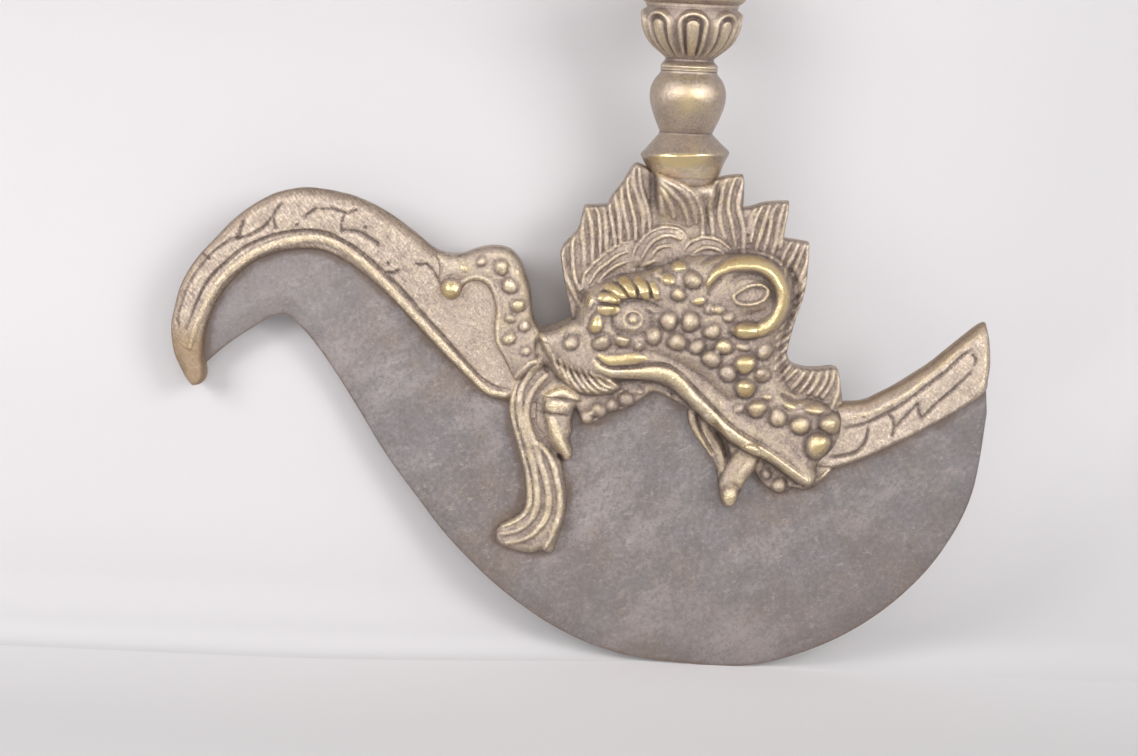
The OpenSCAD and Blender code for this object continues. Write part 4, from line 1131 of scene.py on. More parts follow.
def forged_iron(name):
    """The blade's iron: blue-grey and brown in clouds, pitted, with a brown line at its edge."""
    c, tree = colours(), Tree(name)
    cloud = tree.noise(24 * MM, 7, 0.66)
    patch = tree.noise(6.5 * MM, 6, 0.66)
    scuff = tree.noise(14 * MM, 8, 0.74, tree.stretched((0.45, 1.0, 1.0), -0.6))
    grain = tree.noise(0.8 * MM, 6, 0.76)
    iron, brown = tuple(c.iron), tuple(c.iron_brown)
    fleck = tree.noise(1.6 * MM, 5, 0.8, tree.stretched((0.5, 1.0, 1.0), -0.4))
    across, up = tree.axis("X"), tree.axis("Z")
    stain = tree.maths("ADD", tree.attribute("stain"), tree.between(patch, 0.3, 0.7, -0.35, 0.3))
    frayed = tree.maths("ADD", tree.attribute("edge"), tree.between(patch, 0.3, 0.7, -0.35, 0.25))
    colour = tree.mix(tree.between(cloud, 0.42, 0.6), times(iron, (0.98, 1.02, 1.06)), brown)
    # What lies over the clouds: where it begins and is full, how strong it is at both, its colour
    for layer, low, high, to_low, to_high, tint in (
            (patch, 0.38, 0.62, 0, 0.5, times(iron, 0.7)), (scuff, 0.46, 0.7, 0, 0.9, times(iron, 1.5)),
            (grain, 0.46, 0.66, 0, 0.6, times(iron, 0.62)), (grain, 0.3, 0.46, 0.7, 0, times(iron, 1.5)),
            (fleck, 0.56, 0.68, 0, 0.45, IRON_FLECK), (across, 0.01, 0.06, 0, 0.24, times(iron, 0.5)),
            (across, -0.09, -0.05, 0.3, 0, times(iron, 1.5)), (up, -0.1, -0.07, 0.3, 0, times(brown, 0.8)),
            (stain, 0.35, 0.95, 0, 0.55, IRON_STAIN), (frayed, 0.4, 0.9, 0, 0.6, IRON_RUST)):
        colour = tree.mix(tree.between(layer, low, high, to_low, to_high), colour, tint)
    tree.set(tree.shader.inputs["Base Color"], colour)
    tree.shader.inputs["Metallic"].default_value = 0.45
    tree.set(tree.shader.inputs["Roughness"], tree.between(grain, 0.3, 0.7, 0.46, 0.62))
    hammered = tree.bump(patch, 0.22 * MM, 0.6)
    tree.set(tree.shader.inputs["Normal"], tree.bump(grain, 0.09 * MM, 0.85, hammered))
    return tree.material


# The pieces

def makara_relief():
    """The drawing of one makara casting: its masses, its face, and what is cut into both."""
    relief = Relief(CASTING_LOW, CASTING_HIGH, sizes().cell / MM)
    for outline, rim, top, shoulder, smooth in BODIES:
        relief.body(outline, rim, top, shoulder, smooth)
    add_rising(relief, SADDLE, SADDLE_RISE, 2.6)
    add_rising(relief, FRONT_FEATHER, FRONT_FEATHER_RISE, 1.7)
    relief.height += 0.14 * ripple(relief.x[:, None], relief.z[None, :], 7.0, 3)
    add_face(relief)
    relief.wear(seed=11, cells=0.9)
    add_lines(relief)
    relief.height = spread(relief.height, 0.45)
    relief.dull += 0.085
    left = np.clip((-25.5 - relief.x[:, None]) / 3, 0, 1)
    upper = np.clip((relief.z[None, :] + 37) / 3, 0, 1)
    relief.pale = np.maximum(relief.pale, 0.13 * (left * upper))
    return relief


def add_face(relief):
    """The mouth, the brow's bank, the fang, the eye, the bosses, the ear and the horn."""
    s = sizes()
    upper, lower = MOUTH_LINES
    relief.ridge(upper, width=2.6, height=1.0, shine=0.9, start=0.5, end=0.3)
    relief.ridge(lower, width=3.1, height=0.9, shine=0.42, start=0.3, end=0.8, bow=0.6, pale=0.3)
    relief.ridge(BROW_ARC, width=3.6, height=0.5, shine=0.1, start=0.6, end=0.6, bow=0.8)
    for line in FANG_LINES:
        relief.ridge(line, width=3.0, height=0.5, shine=0.42, start=0.7, end=0.5, pale=0.3)
    add_eye(relief)
    for x, z, radius, shine in PEARLS:
        relief.boss(x, z, radius, radius, shine=shine, height=s.pearl_height)
    for x, z, long, wide, turn, shine in OVALS:
        relief.boss(x, z, long, wide, turn, shine, s.pearl_height)
    relief.ridge(EAR_LINE, width=0.8, height=0.7, shine=0.4, start=1, end=1)
    relief.boss(*EAR_HOLLOW, height=-0.25)
    relief.ridge(HORN_LINE, width=3.2, height=s.horn_height / MM, shine=0.8, start=0.4, end=1)
    relief.boss(*HORN_TIP, shine=0.8, height=0.45)


def add_lines(relief):
    """The combing of the feathers, the petals of the brow, the cuts and the ribs."""
    s = sizes()
    for i, line in enumerate(FEATHER_LINES):
        # Cut by hand, so that no two lines are quite as wide or as high
        width, share = 1.05 + 0.35 * (0.61 * i % 1), 0.8 + 0.45 * (0.37 * i % 1)
        high = share * s.feather_height / MM
        relief.ridge(line, width, high, shine=0.08, start=0.7, end=0.8, bow=1.1, pale=0.05)
    for line in WHORL_LINES:
        relief.ridge(line, width=1.0, height=s.whorl_height / MM, shine=0.05, start=0.6, end=0.6)
    for line, width in BROW_PETALS:
        relief.ridge(line, width, 0.3 + 0.2 * width, shine=0.8, start=0.85, end=0.75, bow=0.8)
    for line in BROW_CUTS:
        relief.cut(line, width=0.5, depth=0.7, dull=0.45)
    for line, width, depth in CUTS:
        relief.cut(line, width, depth)
    for line in TRUNK_LINES:
        relief.ridge(line, width=1.4, height=0.55, shine=0.3, start=0.8, end=0.4, bow=1.3)
    for line in TONGUE_LINES:
        relief.ridge(line, width=1.6, height=0.62, shine=0.3, start=0.8, end=0.5, bow=0.9, pale=0.1)
    for line in FRINGE_LINES:
        relief.ridge(line, width=0.95, height=0.62, shine=0.3, start=0.6, bow=1.2, pale=0.28)
    for line, width, height in JAW_LINES:
        relief.ridge(line, width, height, shine=0.3, start=0.8, end=0.8)


def add_rising(relief, outline, heights, shoulder):
    """A part of the crest that leans forward against the handle's foot."""
    where, inside = relief.depth_inside(outline, 1.0, False)
    z = relief.z[where[1]][None, :] / SQUARE
    rise = np.interp(z, *zip(*heights)) + np.zeros_like(inside)
    round_back = np.sqrt(1 - (1 - np.clip(inside / shoulder, 0, 1)) ** 2)
    relief.lay(where, inside, RISING_ROOT + (rise - RISING_ROOT) * round_back, 0.0)
    relief.pale[where] = np.maximum(relief.pale[where], 0.14 * np.clip(0.5 + inside, 0, 1))


def add_eye(relief):
    """The lidded eye: a ball, a ring round the iris and a bright pupil."""
    x, z = EYE
    turns = np.linspace(0, 2 * math.pi, 17)
    ring = [[x + 3.7 * math.cos(a), z + 3.5 * math.sin(a)] for a in turns]
    relief.boss(x, z, 8.0, 6.0, -8, height=0.09)
    relief.ridge(ring, width=0.6, height=0.5, shine=0.4, start=1, end=1)
    relief.boss(x, z, 2.2, 1.9, shine=0.5, height=0.7)
    relief.ridge(EYE_FOLD, width=0.9, height=0.2)


def rail_relief(outer, inner, grooves, pale):
    """One face of a rail, with its chiselled strokes. pale lightens it."""
    outline = outer + inner[::-1]
    low, high = np.min(outline, axis=0) - 3, np.max(outline, axis=0) + 3
    relief = Relief(low, high, sizes().cell / MM)
    relief.body(outline, RAIL_EDGE_HALF, RAIL_HALF, 0.7)
    relief.height += 0.04 * ripple(relief.x[:, None], relief.z[None, :], 5.0, 5)
    relief.pale += pale
    relief.wear(seed=14, cells=1.4)
    for line, width, depth in grooves:
        relief.cut(line, width * 0.8, depth * 1.2, dull=0.55)
    return relief


def brown_along(relief, line, share, width, power, reach):
    """Leaves brown oxide beside a line, and the crisper its border the higher the power."""
    where, far, _ = relief.along(smooth_line(line) * SQUARE, reach)
    ochre = share * np.exp(-((far / width) ** power))
    relief.ochre[where] = np.maximum(relief.ochre[where], ochre)


def left_rail_relief():
    """The left rail: a broad bevel outside and a rounded lip inside."""
    relief = rail_relief(LEFT_OUTER, LEFT_INNER, LEFT_STROKES, pale=0.03)
    back, hump = LEFT_OUTER[1:18], LEFT_OUTER[11:17]
    relief.cut(LEFT_GROOVE, width=0.5, depth=0.6, dull=0.32)
    relief.bevel(back, width=1.7, drop=0.9, dull=0.14)
    relief.bevel(hump, width=2.6, drop=0.7, dull=0.1)
    relief.ridge(LEFT_LIP, width=2.0, height=0.55, shine=0.4, start=0.5, end=0.8)
    relief.bevel(LEFT_INNER, width=1.0, drop=0.5, dull=0.2)
    low, left = LEFT_TIP[1] * SQUARE, LEFT_TIP[0] * SQUARE
    tip = np.clip((low - relief.z[None, :]) / 6, 0, 1) * (relief.x[:, None] < left)
    relief.ochre += 0.85 * tip
    brown_along(relief, back, share=0.36, width=1.5, power=2, reach=3.0)
    brown_along(relief, LEFT_INNER, share=0.5, width=0.9, power=2, reach=1.8)
    relief.height = spread(relief.height, 0.5)
    return relief


def right_rail_relief():
    """The right rail: bevels all round its face, with crisp edges."""
    relief = rail_relief(RIGHT_OUTER, RIGHT_INNER, RIGHT_GROOVES, pale=0.09)
    below, end = RIGHT_INNER[:11], RIGHT_INNER[9:]
    relief.bevel(RIGHT_OUTER, width=2.1, drop=1.2, dull=0.22)
    relief.bevel(below, width=1.2, drop=0.8, dull=0.2)
    relief.bevel(end, width=1.2, drop=0.8, dull=0.15)
    # Raised edges with a painted highlight along them
    for line in RIGHT_EDGES:
        relief.ridge(line, width=0.7, height=0.16, shine=0.5, start=0.8, end=0.8)
    brown_along(relief, RIGHT_OUTER, share=0.65, width=1.3, power=4, reach=2.0)
    relief.height = spread(relief.height, 0.5)
    return relief


class PieceOperator:
    """What the piece operators have in common."""

    bl_options = {"REGISTER", "UNDO"}


class CHOPPER_OT_blade(PieceOperator, bpy.types.Operator):
    """Build the forged iron blade with its hooked end, ground edge and tang"""

    bl_idname = "chopper.blade"
    bl_label = "Blade"

    def execute(self, context):
        back, edge = smooth_line(BLADE_BACK, 8) * SQUARE, smooth_line(BLADE_EDGE, 8) * SQUARE
        width = np.linalg.norm(edge - back, axis=1)
        near = np.clip(np.array(EDGE_ROWS)[None, :] / width[:, None], 0, 0.45)
        rest = np.linspace(0, 1, BLADE_ROWS + 1)[None, 1:]
        share = np.hstack([near, near[:, -1:] + (1 - near[:, -1:]) * rest])
        place = edge[:, None, :] + (back - edge)[:, None, :] * share[:, :, None]
        far = share * width[:, None]
        ground = np.clip(far / EDGE_WIDTH, 0, 1)
        full, thin = sizes().blade_thickness / MM / 2, sizes().edge_thickness / MM / 2
        half = thin + (full - thin) * ground ** 0.8
        # The very edge is rounded off, and the hammer left the faces a little uneven
        half -= 0.12 * np.exp(-((far / 0.3) ** 2))
        half -= 0.05 * (1 + ripple(place[..., 0], place[..., 1], 11.0, 21)) * ground
        front = np.stack([place[..., 0], -half, place[..., 1]], -1).reshape(-1, 3)
        faces = self.plate_faces(np.arange(len(front)).reshape(share.shape))
        tang, tang_faces = self.tang(full * TANG_THINNER, 2 * len(front))
        points = np.vstack([front, front * [1, -1, 1], tang])
        piece = new_piece("blade_iron", points, [*faces, *tang_faces])
        off_tang = np.zeros(len(tang))
        edge_share = np.exp(-(far / 0.8) ** 2).reshape(-1)
        paint(piece.data, "edge", np.concatenate([edge_share, edge_share, off_tang]))
        stain = self.stain(place.reshape(-1, 1, 2))
        paint(piece.data, "stain", np.concatenate([stain, stain, off_tang]))
        piece.data.set_sharp_from_angle(angle=math.radians(40))
        dress(piece, forged_iron("forged_iron"), "iron", "blade")
        return {"FINISHED"}

    def plate_faces(self, index):
        """The faces of the blade's front and rear, and those round its rim."""
        count = index.size
        front = [index[:-1, :-1], index[1:, :-1], index[1:, 1:], index[:-1, 1:]]
        front = np.stack(front, -1).reshape(-1, 4)
        loop = [index[:, 0], index[-1, 1:], index[-2::-1, -1], index[0, -2:0:-1]]
        loop = np.concatenate(loop)
        ahead = np.roll(loop, -1)
        rim = np.stack([loop, ahead, ahead + count, loop + count], -1)
        return [*front, *(front[:, ::-1] + count), *rim]

    def tang(self, half_thickness, first):
        """The tang's corners and faces, where first is the number of its first corner."""
        corner = [
            [x, y, z] for z in (TANG_FOOT, TANG_TOP)
            for x, y in ((-1, -1), (1, -1), (1, 1), (-1, 1))
        ]
        box = [[0, 1, 5, 4], [1, 2, 6, 5], [2, 3, 7, 6], [3, 0, 4, 7], [3, 2, 1, 0], [4, 5, 6, 7]]
        faces = [[first + k for k in face] for face in box]
        return np.array(corner) * [TANG_HALF_WIDTH, half_thickness, 1], faces

    def stain(self, places):
        """How stained the iron is beside the rails and the castings."""
        lines = (LEFT_INNER, RIGHT_INNER, TONGUE, GUM, CHIN)
        brass = np.vstack([smooth_line(line) for line in lines]) * SQUARE
        gap = np.min(np.linalg.norm(places - brass[None], axis=2), axis=1)
        return np.exp(-((gap / 1.6) ** 2))


class CHOPPER_OT_rails(PieceOperator, bpy.types.Operator):
    """Build the two cast rails that grip the blade's back"""

    bl_idname = "chopper.rails"
    bl_label = "Rails"

    def execute(self, context):
        material = aged_brass("filed_brass", grain=0.95, filed=True, gilded=0.4)
        rails = {"rail_left": left_rail_relief(), "rail_right": right_rail_relief()}
        for name, relief in rails.items():
            piece = new_piece(name + "_brass", *relief.skin(both_faces=True))
            paint_relief(piece.data, relief)
            dress(piece, material, "aged_brass", name)
        return {"FINISHED"}


class CHOPPER_OT_makaras(PieceOperator, bpy.types.Operator):
    """Build the front makara casting and the back one as its mirror image"""

    bl_idname = "chopper.makaras"
    bl_label = "Makara castings"

    def execute(self, context):
        relief = makara_relief()
        material = aged_brass("makara_brass", grain=1.1)
        front = new_piece("makara_front_brass", *relief.skin(both_faces=False))
        merge_flat_back(front.data)
        back = bpy.data.objects.new("makara_back_brass", front.data.copy())
        context.collection.objects.link(back)
        back.data.transform(Matrix.Diagonal((1, -1, 1, 1)))
        back.data.flip_normals()
        for piece, node in ((front, "makara_front"), (back, "makara_back")):
            paint_relief(piece.data, relief)
            dress(piece, material, "aged_brass", node)
        return {"FINISHED"}


class CHOPPER_OT_handle(PieceOperator, bpy.types.Operator):
    """Build the turned pieces of the handle, from the foot ring to the bead and its ring"""

    bl_idname = "chopper.handle"
    bl_label = "Handle"

    def execute(self, context):
        material = aged_brass("handle_brass", grain=0.55, warm=0.16, polish=0.27, gilded=0.9)
        for name, profile, uneven in THREADED:
            angle, radius, height = turned_points(profile, TURNED_SIDES)
            x = radius * np.sin(angle)
            low, high = height.min(), height.max()
            middle = np.sin(np.pi * (height - low) / (high - low))
            radius = radius + uneven * ripple(angle * radius, height, 5.0, 8) * middle
            tone, shine = np.full(radius.shape, HANDLE_TONE), np.zeros(radius.shape)
            if name == "neck_block":
                # Painted highlight: the ridge gets a bright glow, further down its slope than up and fading
                # to the left and right sides, and the foot is lightened as painted light
                fade = np.where(height < BLOCK_RIDGE, 2.1, 0.6)
                ridge = np.exp(-(((height - BLOCK_RIDGE) / fade) ** 2))
                height = height + 0.06 * x * middle
                shine = 1.8 * ridge * np.clip(0.95 - np.abs(x + 1) / 8, 0, 1)
                tone = tone + 0.3 * np.clip((5.0 - height) / 1.2, 0, 1)
            if name == "bead":
                # A painted sheen down the bead's middle, fading to its left and right sides
                shine = 0.6 * middle**2 * np.clip(1 - np.abs(x) / 7, 0, 1)
            if name == "neck_ring":
                tone = 0.4 + 2.2 * (radius - np.interp(height, *zip(*RING_PLAIN)))
            # Dirt stays where a piece meets the next one
            for end in (height - low, high - height):
                tone = tone - 0.2 * np.exp(-(end / 0.2) ** 2)
            piece = turned_piece(name + "_brass", angle, radius, height, tone, shine)
            dress(piece, material, "handle_brass", name)
        return {"FINISHED"}


class CHOPPER_OT_lotus(PieceOperator, bpy.types.Operator):
    """Build the lotus bud with its petals and the flared band on it"""

    bl_idname = "chopper.lotus"
    bl_label = "Lotus bud"

    def execute(self, context):
        material = aged_brass("lotus_brass", grain=0.7, warm=0.15, polish=0.06)
        angle, radius, height = turned_points(BUD_PROFILE, 384, 14)
        part = 2 * math.pi / PETALS
        off = (angle + part / 2) % part - part / 2
        across = np.abs(off) / (part * np.interp(height, *zip(*PETAL_WIDTH)))
        above = np.maximum(height - PETAL_SHOULDER, 0) / PETAL_TOP
        # q is 0 on a petal's middle line and 1 on its outline
        q = np.sqrt(across**2 + above**2)
        rim = np.exp(-(((q - 0.8) / 0.14) ** 4))
        moat = np.exp(-(((q - 0.53) / 0.11) ** 2))
        tongue = np.clip(1 - (q / 0.42) ** 2, 0, 1) ** 0.5
        gap = np.clip((q - 1) / 0.12, 0, 1)
        fade = np.clip((height - 25.9) / 1.2, 0, 1)
        lift = sizes().petal_height / MM
        form = fade * (lift * rim - 0.55 * moat + 0.8 * lift * tongue - 0.35 * gap)
        tone = 0.36 + fade * (0.34 * rim + 0.3 * tongue - 0.4 * moat - 0.14 * gap)
        shine = fade * (0.1 * rim + 0.3 * tongue)
        piece = turned_piece("lotus_bud_brass", angle, radius + form - 0.05, height, tone, shine)
        dress(piece, material, "handle_brass", "lotus_bud")
        angle, radius, height = turned_points(BAND_PROFILE, TURNED_SIDES)
        tone = 0.36 + 0.1 * (radius > 10.6)
        piece = turned_piece("lotus_band_brass", angle, radius, height, tone, 0.0)
        dress(piece, material, "handle_brass", "lotus_band")
        return {"FINISHED"}


class CHOPPER_OT_vajra(PieceOperator, bpy.types.Operator):
    """Build the half vajra: its hub, the four side prongs and the centre prong"""

    bl_idname = "chopper.vajra"
    bl_label = "Half vajra"

    def execute(self, context):
        material = aged_brass("vajra_brass", grain=0.8, warm=0.06)
        angle, radius, height = turned_points(HUB_PROFILE, 256, 8)
        # As many lobes as the bud has petals
        lobes = np.cos(PETALS * angle) * np.exp(-(((height - LOBE_Z) / 1.3) ** 2))
        radius = radius + LOBE_DEPTH * lobes - LOBE_DEPTH
        piece = turned_piece("vajra_hub_brass", angle, radius, height, 0.5 + 0.25 * lobes, 0.2)
        dress(piece, material, "handle_brass", "vajra_hub")
        angle, radius, height = turned_points(SPIKE_PROFILE, 96, 8)
        square = np.interp(height, [52, 60], [0, 0.1]) * (1 - np.cos(4 * angle)) / 2
        radius, tone = radius * (1 - square), 0.5 + 0.3 * (square < 0.02)
        piece = turned_piece("centre_prong_brass", angle, radius, height, tone, 0.3)
        dress(piece, material, "handle_brass", "centre_prong")
        for i in range(1, PRONG_COUNT + 1):
            self.side_prong(i, material)
        return {"FINISHED"}

    def side_prong(self, i, material):
        """A curved prong with a keel along its outer side and rings near its root."""
        line = smooth_line(PRONG_LINE, 12)
        t = np.linspace(0, 1, len(line))
        run = np.gradient(line, axis=0)
        run /= np.linalg.norm(run, axis=1)[:, None]
        # The prong swells in the middle, has two rings near its root and ends in a point
        size = PRONG_RADIUS * (0.5 + 0.5 * np.sin(np.pi * np.minimum(1, 0.1 + t)))
        size += sum(0.22 * np.exp(-(((t - ring) / 0.012) ** 2)) for ring in PRONG_RINGS)
        size *= np.clip((1 - t) / 0.04, 0.15, 1)
        around = np.arange(PRONG_SIDES) * 2 * math.pi / PRONG_SIDES
        keel = PRONG_FLAT + (1 - PRONG_FLAT) * np.maximum(np.cos(around), 0) ** 6
        out = size[:, None] * keel * np.cos(around)
        side = size[:, None] * PRONG_FLAT * np.sin(around)
        reach = line[:, :1] + run[:, 1:] * out
        height = HUB_Z + line[:, 1:] - run[:, :1] * out
        turn = (i - 0.5) * 2 * math.pi / PRONG_COUNT
        x = reach * math.cos(turn) - side * math.sin(turn)
        y = reach * math.sin(turn) + side * math.cos(turn)
        points = np.stack([x, y, height], -1).reshape(-1, 3)
        index = np.arange(len(points)).reshape(len(line), -1)
        ahead = np.roll(index, -1, axis=1)
        quads = np.stack([index[:-1], index[1:], ahead[1:], ahead[:-1]], -1).reshape(-1, 4)
        name = f"side_prong_{i}"
        piece = new_piece(name + "_brass", points, [*quads, index[0], index[-1][::-1]])
        crest = np.broadcast_to(np.maximum(np.cos(around), 0) ** 4, out.shape).reshape(-1)
        paint(piece.data, "tone", 0.48 + 0.3 * crest)
        paint(piece.data, "shine", 0.5 * crest)
        dress(piece, material, "handle_brass", name)


class CHOPPER_OT_pins(PieceOperator, bpy.types.Operator):
    """Set the rails' pins below their faces, and finish the pegs and the hub's cross pin"""

    bl_idname = "chopper.pins"
    bl_label = "Pins and pegs"

    def execute(self, context):
        material = aged_brass("pin_brass", painted=False)
        points, faces = [], []
        for x, z in RAIL_PINS:
            first = len(points)
            for y, share in PIN_PROFILE:
                for a in np.arange(PIN_SIDES) * 2 * math.pi / PIN_SIDES:
                    r = PIN_RADIUS * share
                    points.append([x * SQUARE + r * math.cos(a), y, z * SQUARE + r * math.sin(a)])
            rows = np.arange(first, len(points)).reshape(-1, PIN_SIDES)
            faces += [*quads_round(rows), rows[0], rows[-1]]
        dress(new_piece("rail_pins_brass", points, faces), material, "pin_brass", "rail_pins")
        for node in ("head_pegs", "hub_pin"):
            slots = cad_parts[node].material_slots
            if not slots:
                raise RuntimeError(f"{node} has no material slot")
            for slot in slots:
                slot.material = material
        return {"FINISHED"}


class CHOPPER_OT_stage(PieceOperator, bpy.types.Operator):
    """Lay the pale floor, light it softly and set the camera where the photograph was taken"""

    bl_idname = "chopper.stage"
    bl_label = "Stage"

    def execute(self, context):
        self.papers()
        self.world(context.scene)
        self.lamps()
        self.camera(context.scene)
        context.scene.view_settings.view_transform = "Standard"
        return {"FINISHED"}

    def papers(self):
        """The floor, and the sheet that bends up behind the chopper."""
        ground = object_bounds()[0].z / MM
        far = PAPER_REACH
        near_row = [[-far, -far, ground], [far, -far, ground]]
        far_row = [[-far, far, ground], [far, far, ground]]
        floor, backdrop = tuple(colours().floor), tuple(colours().backdrop)
        # Painted shade and painted light on the papers: [axis, from, to, share there, share beyond, colour]
        self.paper("floor", np.array([near_row, far_row]), floor, [
            ["Y", -0.08, 0.01, 1, 0, times(floor, 0.82)],
            ["X", -0.04, 0.1, 0, 0.12, PAPER_SHADE_AND_MOTTLE],
        ])
        self.paper("backdrop", self.bent_sheet(ground), backdrop, [
            ["Z", -0.097, -0.07, 0.12, 0, PAPER_SHADE_AND_MOTTLE],
            ["Z", -0.1012, -0.0965, 1, 0, times(floor, 0.85)],
            ["Z", -0.03, 0.05, 0, 0.08, PAPER_SHADE_AND_MOTTLE],
            ["X", 0.012, 0.045, 0, 0.25, PAPER_LIGHT],
            ["X", 0.05, 0.095, 0, 0.09, PAPER_SHADE_AND_MOTTLE],
        ], one_sided=True)

    def bent_sheet(self, ground):
        """Rows of points of the backdrop, from the floor up its bend and its slanting wall."""
        x = np.array([-PAPER_REACH, *range(-SHEET_ENDS, SHEET_ENDS + 1, 5), PAPER_REACH])
        inside = np.clip(x, -SHEET_ENDS, SHEET_ENDS)
        wall = SHEET_NEAR
        for start, slope, soft in SHEET_SLOPES:
            wall = wall + slope * smooth_max(inside - start, 0, soft)
        bend = np.maximum(wall - 0.5, LEAST_BEND)
        rows = []
        for t in np.linspace(0, math.pi / 2, 17):
            up = ground + 0.02 + bend * (1 - math.cos(t))
            rows.append(np.stack([x, wall - bend * (1 - math.sin(t)), up], -1))
        top = rows[-1][:, 2]
        for z in (*range(-50, 31, 5), 60, 110, PAPER_REACH):
            lean = LEAN_BACK + LEAN_SLOPE * (min(z, LEAN_TOP) - LEAN_Z)
            leaned = smooth_max(wall, lean, LEAN_SOFT)
            rows.append(np.stack([x, leaned, np.maximum(z, top + 0.2 * (z + 60))], -1))
        return np.stack(rows)

    def paper(self, name, grid, colour, shades, one_sided=False):
        """A wide sheet of pale paper through rows of points. It fades with distance into the
        background's own colour. A one-sided sheet is seen from its front only and lets light by."""
        index = np.arange(grid.shape[0] * grid.shape[1]).reshape(grid.shape[:2])
        mesh = bpy.data.meshes.new(name)
        mesh.from_pydata((grid.reshape(-1, 3) * MM).tolist(), [], quads_between(index).tolist())
        mesh.shade_smooth()
        sheet = bpy.data.objects.new(name, mesh)
        bpy.context.collection.objects.link(sheet)
        tree = Tree(name + "_paper")
        # Painted shade and painted light laid over the paper's colour
        for axis, low, high, to_low, to_high, shade in shades:
            share = tree.between(tree.axis(axis), low, high, to_low, to_high)
            colour = tree.mix(share, colour, shade)
        # A faint grey mottling
        cloudy = tree.between(tree.noise(120 * MM, 3), 0.3, 0.7, 0, 0.015)
        tree.set(tree.shader.inputs["Base Color"], tree.mix(cloudy, colour, PAPER_SHADE_AND_MOTTLE))
        tree.shader.inputs["Roughness"].default_value = 0.9
        tree.shader.inputs["Specular IOR Level"].default_value = 0.1
        length = tree.nodes.new("ShaderNodeVectorMath")
        length.operation = "LENGTH"
        tree.links.new(tree.place, length.inputs[0])
        glow = tree.nodes.new("ShaderNodeEmission")
        glow.inputs["Color"].default_value = (*BACKGROUND, 1)
        seen = seen_by_camera(tree.nodes, tree.links)
        fade = tree.between(length.outputs["Value"], FADE_FROM, FADE_TO)
        fade = tree.maths("MULTIPLY", seen, fade)
        surface = tree.mix_shaders(fade, tree.shader.outputs[0], glow.outputs[0])
        if one_sided:
            clear = tree.nodes.new("ShaderNodeBsdfTransparent")
            away = tree.nodes.new("ShaderNodeNewGeometry").outputs["Backfacing"]
            shown = tree.maths("MULTIPLY", seen, tree.maths("SUBTRACT", 1.0, away))
            surface = tree.mix_shaders(shown, clear.outputs[0], surface)
        tree.links.new(surface, tree.nodes["Material Output"].inputs["Surface"])
        mesh.materials.append(tree.material)
        sheet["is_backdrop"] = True

    def world(self, scene):
        """Plain pale light all round, and the background's colour where the camera sees it."""
        world = bpy.data.worlds.new("studio")
        world.use_nodes = True
        nodes, links = world.node_tree.nodes, world.node_tree.links
        plain = nodes["Background"]
        plain.inputs["Color"].default_value = (*WORLD_COLOUR, 1)
        plain.inputs["Strength"].default_value = WORLD_LIGHT
        seen = nodes.new("ShaderNodeBackground")
        seen.inputs["Color"].default_value = (*BACKGROUND, 1)
        pick = nodes.new("ShaderNodeMixShader")
        links.new(seen_by_camera(nodes, links), pick.inputs[0])
        links.new(plain.outputs[0], pick.inputs[1])
        links.new(seen.outputs[0], pick.inputs[2])
        links.new(pick.outputs[0], nodes["World Output"].inputs["Surface"])
        scene.world = world

    def lamps(self):
        """Large soft lamps to the left, to the right and in front."""
        for name, side, rise, wide, power in LAMPS:
            light = bpy.data.lights.new(name, "AREA")
            light.shape, light.size, light.energy = "SQUARE", wide, power
            lamp = bpy.data.objects.new(name, light)
            a, e = math.radians(side), math.radians(rise)
            back = np.array([math.sin(a) * math.cos(e), -math.cos(a) * math.cos(e), math.sin(e)])
            lamp.matrix_world = facing(np.array(CAMERA_AIM) + back * LAMP_DISTANCE, back, 0.0)
            bpy.context.collection.objects.link(lamp)

    def camera(self, scene):
        """The camera at the photograph's height, distance and tilt."""
        data = bpy.data.cameras.new("camera")
        data.lens, data.sensor_width = CAMERA_LENS, CAMERA_SENSOR
        data.clip_start, data.clip_end = 0.01, 20
        camera = bpy.data.objects.new("camera", data)
        back = np.array([0, -math.cos(CAMERA_ELEVATION), math.sin(CAMERA_ELEVATION)])
        place = np.array(CAMERA_AIM) + back * CAMERA_DISTANCE
        camera.matrix_world = facing(place, back, CAMERA_ROLL)
        bpy.context.collection.objects.link(camera)
        scene.camera = camera


def facing(place, back, roll):
    """The matrix of a camera or lamp at a place that looks away from back, rolled to the left."""
    right = np.cross([0, 0, 1.0], back)
    right /= np.linalg.norm(right)
    up = np.cross(back, right)
    right, up = right * math.cos(roll) + up * math.sin(roll), up * math.cos(roll) - right * math.sin(roll)
    rows = np.column_stack([right, up, back, place])
    return Matrix([*rows.tolist(), [0, 0, 0, 1]])


STEPS = (
    CHOPPER_OT_blade, CHOPPER_OT_rails, CHOPPER_OT_makaras, CHOPPER_OT_handle, CHOPPER_OT_lotus,
    CHOPPER_OT_vajra, CHOPPER_OT_pins, CHOPPER_OT_stage,
)


class CHOPPER_PT_panel(bpy.types.Panel):
    """Lists the chopper's sizes, colours and pieces"""

    bl_idname = "CHOPPER_PT_panel"
    bl_label = "Kartika chopper"
    bl_space_type = "VIEW_3D"
    bl_region_type = "UI"
    bl_category = "Chopper"

    def draw(self, context):
        for group in (context.scene.chopper_sizes, context.scene.chopper_colours):
            box = self.layout.box()
            for name in group.bl_rna.properties.keys():
                if name not in ("rna_type", "name"):
                    box.prop(group, name)
        for step in STEPS:
            self.layout.operator(step.bl_idname)


CLASSES = (ChopperSizes, ChopperColours, *STEPS, CHOPPER_PT_panel)


def register():
    for cls in CLASSES:
        bpy.utils.register_class(cls)
    bpy.types.Scene.chopper_sizes = PointerProperty(type=ChopperSizes)
    bpy.types.Scene.chopper_colours = PointerProperty(type=ChopperColours)


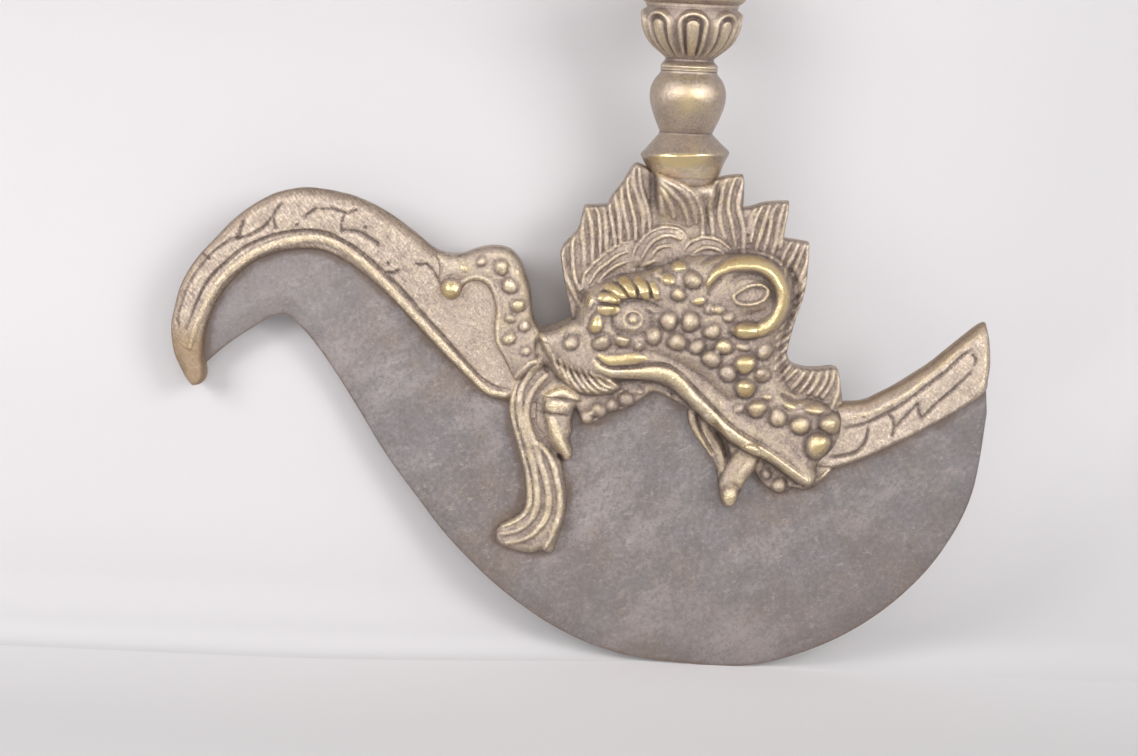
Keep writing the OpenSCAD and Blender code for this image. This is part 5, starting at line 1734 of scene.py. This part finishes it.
def unregister():
    del bpy.types.Scene.chopper_colours
    del bpy.types.Scene.chopper_sizes
    for cls in reversed(CLASSES):
        bpy.utils.unregister_class(cls)


def main():
    """Builds the chopper and its stage."""
    register()
    for step in STEPS:
        group, name = step.bl_idname.split(".")
        getattr(getattr(bpy.ops, group), name)()


if __name__ == "__main__":
    main()
